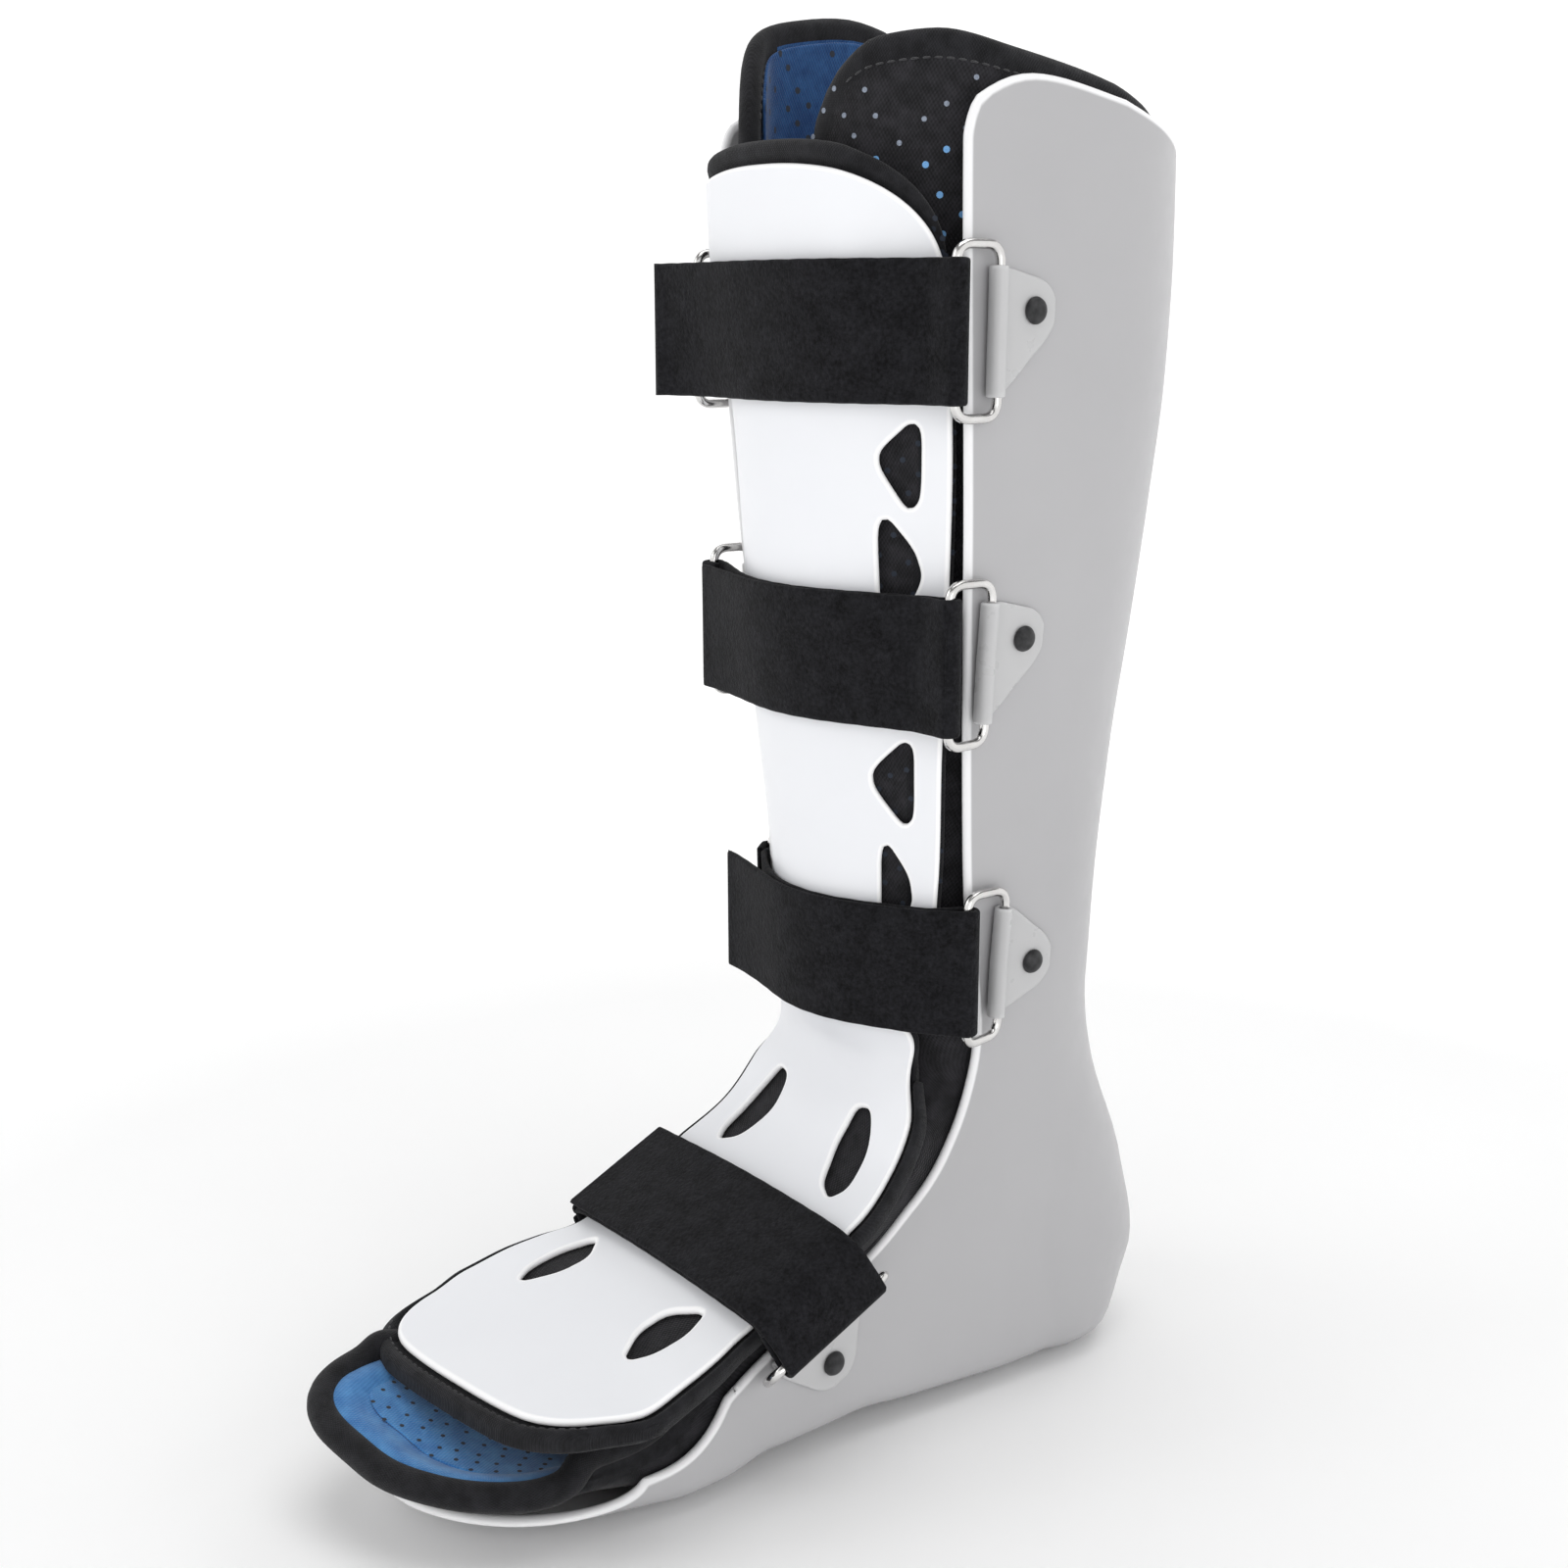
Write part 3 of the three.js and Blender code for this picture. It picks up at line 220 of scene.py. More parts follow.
# Lip depth behind the plate, wrap round the front, toe lift
LINER_SCALE = (PLATE_DEPTH, 1, TOE_LIFT)
liner_at = sections([
    (leg_zone, LINER_SCALE, [(0, 0.33, 1, 0), (1, 0.30, 1, 0)]),
    (turn_zone, LINER_SCALE, [(0.3, 0.33, 1, 0), (0.8, 0.33, 1, 0)]),
    (fore_station, LINER_SCALE, [
        (0.02, 0.260, 0.80, 0.00),
        (0.12, 0.240, 0.30, 0.02),
        (0.22, 0.220, 0.00, 0.08),
        (0.36, 0.240, 0.00, 0.30),
        (0.52, 0.260, 0.00, 0.60),
        (0.65, 0.290, 0.00, 0.85),
        (1.00, 0.200, 0.00, 1.00)]),
])


def rib_at(s, x):
    z = ANKLE_HEIGHT - s
    along = (ease((z - 0.43 * SHELL_HEIGHT) / (0.08 * SHELL_HEIGHT))
             * ease((0.845 * SHELL_HEIGHT - z) / (0.05 * SHELL_HEIGHT)))
    return RIB_HEIGHT * along * ease((RIB_HALF_WIDTH - abs(x)) / 6)


def ground_depth(s, d):
    if s <= 0:
        return 1e6
    return (ANKLE_HEIGHT - d) / math.sin(math.radians(min(s, 90)))


def wall_point(s, t, d):
    w, rb, b, n, we, re = shell_at(s)
    side = rb - b
    if t <= CORNER:
        a = (math.pi / 2) * (t / CORNER)
        e = 2 / n
        x = (w - d) * math.sin(a) ** e
        r = side + (b - d) * max(math.cos(a), 0) ** e
        rib = rib_at(s, x) if d < 0.01 and s < 0 else 0
        return x, min(r + rib, ground_depth(s, d))
    k = (t - CORNER) / (1 - CORNER)
    return w + (we - w) * k * k - d, side + (re - side) * k


def wall_x(s, r):
    w, rb, b, n, we, re = shell_at(s)
    side = rb - b
    if r > side:
        return w * arch((r - side) / b, n)
    k = (side - r) / (side - re)
    return w + (we - w) * k * k


SIDE_END, WING_END = fore_station(0.45), fore_station(0.17)


def shell_end(t, side):
    if t <= CORNER:
        x = math.sin((math.pi / 2) * (t / CORNER)) ** (2 / 3.2)
        return mix(SIDE_END, fore_station(1), arch(x, 2.4)) - side * x * TOE_SKEW * arch(x, 4)
    return mix(SIDE_END, WING_END, ease((t - CORNER) / (1 - CORNER)))


shell_rim = sections([(lambda t: t, (SHELL_HEIGHT,), [
    (0.00, 0.944), (0.30, 0.955), (0.50, 0.973), (0.65, 0.987), (0.78, 0.997), (0.88, 1.000),
    (0.94, 0.992), (0.98, 0.976), (1.00, 0.953)])])


def shell_top(t):
    return height_station(shell_rim(t)[0])


def front_raw(s, k):
    r0, c, rc, xe, re = front_at(s)
    if k < 0.5:
        h = k / 0.5
        return c * h, mix(r0, rc, h * h)
    h = (k - 0.5) / 0.5
    return mix(c, xe, h), mix(rc, re, h)


# The fine surface rounds the crease between the middle panel and the side panels
def front_soft(s, k):
    x = r = 0.0
    for dk, w in ((-0.07, 0.25), (0.0, 0.5), (0.07, 0.25)):
        q = k + dk * ease((1 - k) / 0.12)
        p = front_raw(s, abs(q))
        x += w * math.copysign(p[0], q)
        r += w * p[1]
    return x, r


def front_point(s, k, d, soft=True):
    raw = front_soft if soft else front_raw
    x, r = raw(s, k)
    a = raw(s, max(k - 0.04, 0))
    b = raw(s, k + 0.04)
    dx, dr = b[0] - a[0], b[1] - a[1]
    length = math.hypot(dx, dr)
    if k < 0.001:
        return x, r + d
    return x - dr / length * d, r + dx / length * d


LEG_ROWS = [leg_station(k) for k in (0.88, 0.73, 0.57, 0.40, 0.20)]
TURN_ROWS = [90 * k for k in (0, 0.13, 0.25, 0.34, 0.42, 0.50, 0.62, 0.75, 0.88, 1)]
FORE_ROWS = [fore_station(k) for k in (0.07, 0.14)]
EDGE_STEPS = [0, 0.12, 0.45, 1.0, 1.8, 2.8, 4.2]


def linspace(a, b, n):
    return [mix(a, b, i / n) for i in range(n + 1)]


# Close rows at both free edges and even rows between
def fine_run(top, end, first, leg, turn, last):
    rows = [top + e for e in EDGE_STEPS]
    stops = [rows[-1], *LEG_ROWS, *TURN_ROWS, *FORE_ROWS, end - EDGE_STEPS[-1]]
    for i, (a, b) in enumerate(zip(stops, stops[1:])):
        n = first if i == 0 else last if i == len(stops) - 2 else leg if b <= 0 else turn
        rows += linspace(a, b, n)[1:]
    return rows + [end - e for e in EDGE_STEPS[-2::-1]]


# Lines and grids
def unit(v):
    return v / np.maximum(np.linalg.norm(v, axis=-1, keepdims=True), 1e-9)


def run_of(path):
    return np.concatenate([[0], np.cumsum(np.linalg.norm(np.diff(path, axis=0), axis=1))])


def sampled(path, run, at):
    return np.stack([np.interp(at, run, path[:, k]) for k in range(path.shape[1])], axis=1)


# Each row between two others drawn towards its neighbours
def averaged(p, start, stop, passes):
    for _ in range(passes):
        p[start:stop] = 0.25 * p[start - 1:stop - 1] + 0.5 * p[start:stop] + 0.25 * p[start + 1:stop + 1]
    return p


# One run of stations for each column, one point for each station
def grid_of(runs, point):
    return np.array([[point(i, j, s) for j, s in enumerate(row)] for i, row in enumerate(zip(*runs))])


def cumulative(points, axis):
    step = np.linalg.norm(np.diff(points, axis=axis), axis=2)
    pad = np.zeros_like(np.take(step, [0], axis=axis))
    return np.concatenate([pad, np.cumsum(step, axis=axis)], axis=axis)


# Distance of every point to a line, exact apart from the line's 0.8 mm steps
def line_distance(points, line, closed=False):
    ends = np.roll(line, -1, axis=0) if closed else line[1:]
    starts = line if closed else line[:-1]
    counts = np.maximum(1, np.ceil(np.linalg.norm(ends - starts, axis=1) / 0.8)).astype(int)
    dense = [a + (b - a) * (np.arange(n) / n)[:, None] for a, b, n in zip(starts, ends, counts)]
    dense = np.concatenate(dense if closed else dense + [line[-1:]])
    tree = KDTree(len(dense))
    for i, q in enumerate(dense):
        tree.insert(q, i)
    tree.balance()
    flat = points.reshape(-1, 3)
    near = np.array([tree.find(q)[1] for q in flat])
    best = np.full(len(flat), 1e9)
    for step in (-1, 0):
        a = dense[(near + step) % len(dense)]
        b = dense[(near + step + 1) % len(dense)]
        if not closed:
            wrong = (near + step < 0) | (near + step + 1 >= len(dense))
            a, b = np.where(wrong[:, None], dense[near], a), np.where(wrong[:, None], dense[near], b)
        ab = b - a
        k = np.clip(np.sum((flat - a) * ab, axis=1) / np.maximum(np.sum(ab * ab, axis=1), 1e-9), 0, 1)
        best = np.minimum(best, np.linalg.norm(flat - a - k[:, None] * ab, axis=1))
    return best.reshape(points.shape[:-1])


def edge_distance(grid):
    border = np.concatenate([grid[0], grid[1:, -1], grid[-1, -2::-1], grid[-2:0:-1, 0]])
    edge = line_distance(grid, border, closed=True)
    edge[0] = edge[-1] = 0
    edge[:, 0] = edge[:, -1] = 0
    return edge


def new_object(name, points, faces, materials, face_slots=None, uv=None, nodes=(), slot=None, rim=None):
    mesh = bpy.data.meshes.new(name)
    mesh.from_pydata((np.asarray(points) * 0.001).tolist(), [], faces)
    for material in materials:
        mesh.materials.append(material)
    if face_slots is not None:
        mesh.polygons.foreach_set("material_index", np.asarray(face_slots, dtype=np.int32))
    if uv is not None:
        layer = mesh.uv_layers.new(name="UVMap")
        loops = np.empty(len(mesh.loops), dtype=np.int32)
        mesh.loops.foreach_get("vertex_index", loops)
        layer.data.foreach_set("uv", np.asarray(uv, dtype=np.float32)[loops].ravel() * 0.001)
    if rim is not None:
        inward = mesh.attributes.new("rim", "FLOAT", "POINT")
        inward.data.foreach_set("value", np.asarray(rim, dtype=np.float32))
    mesh.polygons.foreach_set("use_smooth", np.ones(len(mesh.polygons), dtype=bool))
    mesh.update()
    piece = bpy.data.objects.new(name, mesh)
    bpy.context.scene.collection.objects.link(piece)
    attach(piece, "root")
    if nodes:
        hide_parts(*nodes)
    return piece


def outward(points, faces):
    p = np.asarray(points)
    total = 0.0
    for f in faces:
        a = p[f[0]]
        for i in range(1, len(f) - 1):
            total += float(np.dot(a, np.cross(p[f[i]], p[f[i + 1]])))
    return faces if total > 0 else [tuple(reversed(f)) for f in faces]


# Solid between two grids with rounded free edges: points, faces, sides, uv and edge distances
def slab(outer, inner, radius=None):
    outer, inner = np.asarray(outer), np.asarray(inner)
    mid, half = (outer + inner) / 2, (outer - inner) / 2
    down, across = cumulative(mid, 0), cumulative(mid, 1)
    edge = edge_distance(mid)
    full = np.linalg.norm(half, axis=2)
    r = full if radius is None else np.minimum(full, radius)
    f = np.sqrt(np.clip(1 - (1 - np.clip(edge / np.maximum(r, 1e-6), 0, 1)) ** 2, 0, 1))
    if radius is not None:
        f = np.where(edge > 0, 1 - (1 - f) * np.minimum(1, r / full), 0)
    a, b = mid + half * f[..., None], mid - half * f[..., None]
    rows, cols = edge.shape
    u = across - across[:, cols // 2][:, None]
    v = down - down[rows // 2]
    ids = np.arange(rows * cols).reshape(rows, cols)
    inner_ids = ids.copy()
    body = np.zeros_like(ids, dtype=bool)
    body[1:-1, 1:-1] = True
    inner_ids[body] = rows * cols + np.arange(body.sum())
    points = np.concatenate([a.reshape(-1, 3), b[body]])
    uv = np.stack([u, v], axis=2)
    uvs = np.concatenate([uv.reshape(-1, 2), uv[body]])
    edges = np.concatenate([edge.reshape(-1), edge[body]])

    def quads(at):
        return np.stack([at[:-1, :-1], at[:-1, 1:], at[1:, 1:], at[1:, :-1]], axis=2).reshape(-1, 4)
    faces = np.concatenate([quads(ids), quads(inner_ids)[:, [0, 3, 2, 1]]])
    sides = np.repeat([0, 1], (rows - 1) * (cols - 1))
    return points, [tuple(face) for face in faces.tolist()], sides, uvs, edges


def slab_object(name, outer, inner, materials, radius=None, pick=None, **extra):
    points, faces, sides, uv, edges = slab(outer, inner, radius)
    slots = None
    if pick:
        index = np.array(faces)
        slots = [pick(side, centre, edge) for side, centre, edge in
                 zip(sides, points[index].mean(axis=1), edges[index].mean(axis=1))]
    return new_object(name, points, outward(points, faces), materials, slots, uv, rim=edges, **extra)


def tube(path, radius, sides, closed=True):
    path = np.asarray(path, dtype=float)
    n = len(path)
    ahead = np.roll(path, -1, axis=0) - np.roll(path, 1, axis=0)
    if not closed:
        ahead[0], ahead[-1] = path[1] - path[0], path[-1] - path[-2]
    ahead = unit(ahead)
    centre = path.mean(axis=0)
    normal = np.zeros(3)
    for i in range(n - (0 if closed else 1)):
        normal += np.cross(path[i] - centre, path[(i + 1) % n] - centre)
    if np.linalg.norm(normal) < 1e-6:
        normal = np.cross(ahead[0], [0.3, 0.5, 0.8])
    normal = unit(normal)
    points = []
    for p, t in zip(path, ahead):
        u = unit(np.cross(t, normal))
        w = np.cross(u, t)
        for j in range(sides):
            a = 2 * math.pi * j / sides
            points.append(p + radius * math.cos(a) * u + radius * math.sin(a) * w)
    faces = []
    for i in range(n if closed else n - 1):
        for j in range(sides):
            k, m = (j + 1) % sides, (i + 1) % n
            faces.append((i * sides + j, i * sides + k, m * sides + k, m * sides + j))
    if not closed:
        faces.append(tuple(reversed(range(sides))))
        faces.append(tuple(range((n - 1) * sides, n * sides)))
    return points, faces


def smooth_line(points, steps):
    p = np.asarray(points, dtype=float)
    ext = np.vstack([2 * p[0] - p[1], p, 2 * p[-1] - p[-2]])
    out = []
    for i in range(1, len(ext) - 2):
        a, b, c, d = ext[i - 1:i + 3]
        for k in range(steps):
            t = k / steps
            out.append(0.5 * (2 * b + (c - a) * t + (2 * a - 5 * b + 4 * c - d) * t * t
                              + (3 * b - a - 3 * c + d) * t ** 3))
    out.append(p[-1])
    return np.array(out)


# Node materials
class Shader:
    def __init__(self, name):
        self.material = bpy.data.materials.new(name)
        self.material.use_nodes = True
        self.tree = self.material.node_tree
        self.bsdf = self.tree.nodes["Principled BSDF"]
        self.coords = self.tree.nodes.new("ShaderNodeTexCoord")

    def node(self, kind, inputs=None, **settings):
        made = self.tree.nodes.new(kind)
        for key, value in settings.items():
            setattr(made, key, value)
        for key, value in (inputs or {}).items():
            if isinstance(value, bpy.types.NodeSocket):
                self.tree.links.new(value, made.inputs[key])
            else:
                made.inputs[key].default_value = value
        return made

    def noise(self, scale, detail=4.0, rough=0.55):
        made = self.node("ShaderNodeTexNoise", {"Vector": self.coords.outputs["Object"], "Scale": scale,
                                                "Detail": detail, "Roughness": rough})
        return made.outputs["Fac"]

    def spread(self, value, low, high, start=0.3, end=0.7):
        return self.node("ShaderNodeMapRange", {0: value, 1: start, 2: end, 3: low, 4: high}).outputs[0]

    def blend(self, factor, a, b):
        return self.node("ShaderNodeMix", {0: factor, 6: a, 7: b}, data_type="RGBA").outputs[2]

    def maths(self, kind, a, b=0.0):
        return self.node("ShaderNodeMath", {0: a, 1: b}, operation=kind).outputs[0]

    def bump(self, height, strength, distance, under=None):
        made = self.node("ShaderNodeBump", {"Height": height, "Strength": strength, "Distance": distance})
        if under is not None:
            self.tree.links.new(under, made.inputs["Normal"])
        return made.outputs["Normal"]

    def set(self, **values):
        for key, value in values.items():
            socket = self.bsdf.inputs[key.replace("_", " ")]
            if isinstance(value, bpy.types.NodeSocket):
                self.tree.links.new(value, socket)
            else:
                socket.default_value = value
        return self.material


def rgb(r, g, b):
    return (r, g, b, 1.0)


def moulded(name, base, dark, light, rough, coat, rim=None):
    s = Shader(name)
    cloud = s.noise(9.0, 3.0)
    fine = s.noise(420.0, 2.0)
    # Lighter on sharp edges: edge wear together with a painted highlight
    edge = s.node("ShaderNodeNewGeometry").outputs["Pointiness"]
    colour = s.blend(s.spread(cloud, 0.0, 1.0), dark, base)
    colour = s.blend(s.spread(edge, 0.0, 0.55, 0.53, 0.60), colour, light)
    # Painted highlight: within the rim band of a free edge the colour goes to the light one, where the edge
    # catches the light
    if rim:
        inward = s.node("ShaderNodeAttribute", attribute_name="rim").outputs["Fac"]
        colour = s.blend(s.spread(inward, 0.0, 1.0, *rim), light, colour)
    bump = s.bump(fine, 0.05, 0.0004, s.bump(s.noise(60.0, 2.0), 0.04, 0.002))
    return s.set(Base_Color=colour, Roughness=s.spread(s.noise(140.0, 3.0), rough - 0.04, rough + 0.06),
                 Normal=bump, Coat_Weight=coat, Coat_Roughness=0.25, IOR=1.48)


def felt(name, dark, light):
    s = Shader(name)
    tuft = s.noise(760.0, 3.0, 0.7)
    patch = s.noise(150.0, 3.0, 0.65)
    mixed = s.maths("ADD", s.maths("MULTIPLY", tuft, 0.6), s.maths("MULTIPLY", patch, 0.4))
    bump = s.bump(mixed, 0.75, 0.0012)
    return s.set(Base_Color=s.blend(s.spread(mixed, 0.0, 1.0, 0.36, 0.66), dark, light), Roughness=0.96,
                 Normal=bump, Sheen_Weight=0.05, Sheen_Roughness=0.5, Specular_IOR_Level=0.12)


def knit(name, dark, light, pitch, sheen):
    s = Shader(name)
    split = s.node("ShaderNodeSeparateXYZ", {0: s.coords.outputs["UV"]})
    turn = 2 * math.pi / pitch
    a = s.maths("SINE", s.maths("MULTIPLY", split.outputs[0], turn))
    b = s.maths("SINE", s.maths("MULTIPLY", split.outputs[1], turn * 0.62))
    loops = s.maths("MULTIPLY", a, b)
    patch = s.noise(170.0, 3.0, 0.6)
    tone = s.maths("ADD", s.maths("MULTIPLY", loops, 0.16), patch)
    bump = s.bump(loops, 0.35, 0.0003, s.bump(s.noise(900.0, 3.0), 0.3, 0.0006))
    return s.set(Base_Color=s.blend(s.spread(tone, 0.0, 1.0, 0.30, 0.72), dark, light), Roughness=0.88,
                 Normal=bump, Sheen_Weight=sheen, Sheen_Roughness=0.45, Specular_IOR_Level=0.25)


def plated(name):
    s = Shader(name)
    scratch = s.noise(1300.0, 2.0)
    tone = s.spread(s.noise(80.0), 0, 1)
    return s.set(Base_Color=s.blend(tone, rgb(0.62, 0.61, 0.60), rgb(0.74, 0.73, 0.72)), Metallic=1.0,
                 Roughness=s.spread(scratch, 0.14, 0.26), Normal=s.bump(scratch, 0.03, 0.0003))


def lacquer(name, base):
    s = Shader(name)
    return s.set(Base_Color=s.blend(s.spread(s.noise(300.0), 0, 1), base, rgb(0.05, 0.05, 0.052)),
                 Roughness=s.spread(s.noise(700.0), 0.34, 0.50), Normal=s.bump(s.noise(900.0), 0.06, 0.0003),
                 Specular_IOR_Level=0.2)


def thread(name, base, light):
    s = Shader(name)
    return s.set(Base_Color=s.blend(s.spread(s.noise(2200.0), 0, 1), base, light), Roughness=0.8,
                 Normal=s.bump(s.noise(3000.0), 0.3, 0.0002), Sheen_Weight=0.2)


# Base, darker tone, then the light colour of the painted highlight on the edges
SHELL_GREY = moulded("shell_grey", rgb(0.43, 0.427, 0.437), rgb(0.405, 0.402, 0.412),
                     rgb(0.84, 0.84, 0.85), 0.40, 0.12, (1.5, 2.3))
TAB_GREY = moulded("tab_grey", rgb(0.50, 0.50, 0.505), rgb(0.47, 0.47, 0.475),
                   rgb(0.70, 0.70, 0.71), 0.30, 0.25)
PLATE_WHITE = moulded("plate_white", rgb(0.835, 0.845, 0.87), rgb(0.805, 0.815, 0.845),
                      rgb(0.955, 0.955, 0.96), 0.36, 0.10, (0.9, 1.5))
FELT_BLACK = felt("strap_black", rgb(0.003, 0.003, 0.0035), rgb(0.017, 0.017, 0.020))
KNIT_BLACK = knit("liner_black", rgb(0.006, 0.006, 0.007), rgb(0.024, 0.023, 0.027), 0.0011, 0.12)
BINDING_BLACK = knit("binding_black", rgb(0.004, 0.004, 0.005), rgb(0.017, 0.017, 0.020), 0.0008, 0.08)
KNIT_BLUE = knit("lining_blue", rgb(0.032, 0.15, 0.40), rgb(0.08, 0.27, 0.56), 0.0011, 0.35)
# The lining blue made darker: painted shade deep inside the cuff
KNIT_BLUE_SHADED = knit("lining_blue_shaded", rgb(0.010, 0.045, 0.15), rgb(0.026, 0.095, 0.25), 0.0011, 0.2)
THREAD_BLACK = thread("thread_black", rgb(0.010, 0.010, 0.011), rgb(0.045, 0.045, 0.05))
# Dark discs: painted shade inside the holes
HOLE_SHADE = thread("hole_shade", rgb(0.006, 0.010, 0.020), rgb(0.010, 0.018, 0.034))
HOLE_BLUE = thread("hole_blue", rgb(0.10, 0.30, 0.62), rgb(0.22, 0.46, 0.78))
# Pale discs: painted glints on the near flap's upper holes
HOLE_GLINT = thread("hole_glint", rgb(0.12, 0.14, 0.18), rgb(0.30, 0.34, 0.42))
NICKEL = plated("nickel")
RIVET_BLACK = lacquer("rivet_black", rgb(0.012, 0.012, 0.013))


# Rear shell
SHELL_PASSES, LINER_PASSES = 12, 14
WALL_TS = linspace(0, CORNER, 40)
SIDE_TS = linspace(CORNER, 0.97, 14)[1:] + [0.982, 0.989, 0.9936, 0.9971, 0.9992, 1.0]


def mirrored(half):
    return [-t for t in half[:0:-1]] + list(half)


# A shallow step round the heel: its height, its width, and its line from the ground up
STEP, STEP_WIDTH = 1.1, 7
STEP_Z, STEP_Y = [4, 22, 50, 80, 100, 118], [14, 8, 2, 8, 16, 26]


def heel_relief(p):
    _, y, z = p
    across = ease((y - np.interp(z, STEP_Z, STEP_Y)) / STEP_WIDTH)
    return STEP * across * ease((STEP_Z[-1] - z) / 22) * ease((y + 20) / 20)


def softened(values, passes):
    return averaged(np.array(values, dtype=float), 1, len(values) - 1, passes).tolist()


def shell_grid(d):
    ts = mirrored(WALL_TS + SIDE_TS)
    ends = softened([shell_end(abs(t), (t > 0) - (t < 0)) for t in ts], SHELL_PASSES)
    tops = softened([shell_top(abs(t)) for t in ts], SHELL_PASSES)
    runs = [fine_run(top, end, 26, 8, 5, 26) for top, end in zip(tops, ends)]

    def point(i, j, s):
        x, r = wall_point(s, abs(ts[j]), d)
        return place(s, math.copysign(x, ts[j]), r)
    return grid_of(runs, point)


outer = shell_grid(0)
inner = shell_grid(SHELL_WALL)
relief = np.apply_along_axis(heel_relief, 2, outer)
outer = outer + unit(outer - inner) * relief[..., None]
outer[..., 2] = np.maximum(outer[..., 2], 0)
slab_object("shell_fine", outer, inner, [SHELL_GREY], nodes=("rear_shell",), slot="shell")

# Liner
FRONT_STACK = PLATE_WALL + TONGUE_PAD + TONGUE_EASE + 2 * GAP + FOLD_SPARE
NEAR_WRAP, FAR_WRAP, LIP_STEP = 0.16, 0.72, 4
WALL_N, LIP_N, FRONT_N = 38, 10, 18


@lru_cache(maxsize=None)
def layer_half(s, d, hand):
    lip_k, wrap, lift = liner_at(s)
    _, rb, b, _, _, re = shell_at(s)
    lip = front_at(s)[4] + lip_k
    side = rb - b
    reach = clamp((side - lip) / (side - re), 0.2, 1.6)
    path = [list(wall_point(s, t, d)) for t in linspace(0, CORNER, WALL_N)]
    path += [list(wall_point(s, CORNER + (1 - CORNER) * reach * k, d)) for k in linspace(0, 1, LIP_N)[1:]]
    spread = 1 + (TOE_SPREAD / SOLE_HALF_WIDTH) * ease((s - fore_station(0.55)) / (0.25 * FORE))
    for p in path:
        p[0] *= spread
        p[1] -= lift * clamp((p[1] - lip) / (rb - lip), 0, 1)
    x_lip, r_lip = path[-1]
    depth = FRONT_STACK + d - LINER_D
    last = NEAR_WRAP if hand > 0 else FAR_WRAP
    first = front_point(s, 1, depth)
    for u in linspace(0, 1, FRONT_N)[1:]:
        i = 3 * u
        if i < 1:
            x, r = mix(x_lip, first[0], i), mix(r_lip, first[1], i)
        else:
            x, r = front_point(s, mix(1, last, (i - 1) / 2), depth)
        path.append([mix(x_lip, x, wrap), mix(r_lip - LIP_STEP * i / 3, r, wrap)])
    return averaged(np.array(path), WALL_N + 2, len(path) - 1, 8)


STATION_LOW, STATION_HIGH = int(height_station(FAR_FLAP_TOP)) - 4, int(fore_station(1)) + 24


@lru_cache(maxsize=None)
def layer_table(d, hand):
    return np.array([layer_half(float(s), d, hand) for s in range(STATION_LOW, STATION_HIGH + 1)])


def layer_point(s, d, hand, col):
    k = clamp(s, STATION_LOW, STATION_HIGH) - STATION_LOW
    i = min(int(k), STATION_HIGH - STATION_LOW - 1)
    table = layer_table(d, hand)
    return table[i, col] + (table[i + 1, col] - table[i, col]) * (k - i)


def column_shares(hand):
    run = run_of(layer_half(leg_station(0.7), LINER_D, hand))
    return run / run[-1]


liner_rim = sections([(lambda v: v, (NEAR_FLAP_TOP, FAR_FLAP_TOP), [
    (0.00, 0.933, 0.900), (0.25, 0.940, 0.910), (0.40, 0.963, 0.960), (0.52, 0.979, 0.990),
    (0.64, 0.990, 1.000), (0.76, 1.000, 0.994), (0.86, 0.996, 0.980), (0.93, 0.980, 0.955),
    (0.98, 0.950, 0.920), (1.00, 0.920, 0.885)])])
SHARES = {1: column_shares(1), -1: column_shares(-1)}


def liner_top(v, side, drop):
    near, far = liner_rim(v)
    return height_station((near if side > 0 else far) - drop)


LAST_COL = WALL_N + LIP_N + FRONT_N
NEAR_SKEW, FAR_SKEW = -LINER_SKEW, 0.8 * LINER_SKEW


# Columns from the far flap's edge to the near flap's, as (column, side)
def columns(count):
    return [(abs(j), -1 if j < 0 else 1) for j in range(-count, count + 1)]


def raw_liner_end(col, side):
    s = fore_station(0.8)
    x = layer_half(s, LINER_D, side)[col][0]
    k = clamp(x / (shell_at(s)[0] - LINER_D + TOE_SPREAD), 0, 1)
    end = mix(fore_station(0.55), fore_station(1) + TOE_OVERHANG, arch(k, 2.9))
    return end + k * (NEAR_SKEW if side > 0 else FAR_SKEW)


LINER_ENDS = softened([raw_liner_end(col, side) for col, side in columns(LAST_COL)], LINER_PASSES)


def liner_end(col, side):
    return LINER_ENDS[LAST_COL + side * col]


# The toe pad's far corner curls up: where this starts, and the way to its full height
CURL_Y, CURL_RUN, CURL_X, CURL_ACROSS = -165, 45, 25, 70


def curled(p):
    x, y, z = p
    return x, y, z + TOE_CURL * ease((CURL_Y - y) / CURL_RUN) * ease((CURL_X - x) / CURL_ACROSS)


def layer_grid(d, places, runs, rise=None):
    def point(i, j, s):
        col, side = places[j]
        x, r = layer_point(s, d, side, col)
        return curled(place(s, side * x, r - (0 if rise is None else rise[i, j])))
    return grid_of(runs, point)


# Binding width, where the toe's blue starts, and the height above which the inside takes the darker blue of
# painted shade
BOUND_EDGE, TOE_BLUE, CUFF_SHADED_FROM = 7.5, -150, 300


# Blue inside the toe, a darker blue inside the cuff as painted shade, binding along the edges, black elsewhere
def rim_pick(side, centre, edge):
    if side == 1 and centre[1] < TOE_BLUE:
        return 2
    if edge < BOUND_EDGE:
        return 1
    return 3 if side == 1 and centre[2] > CUFF_SHADED_FROM else 0


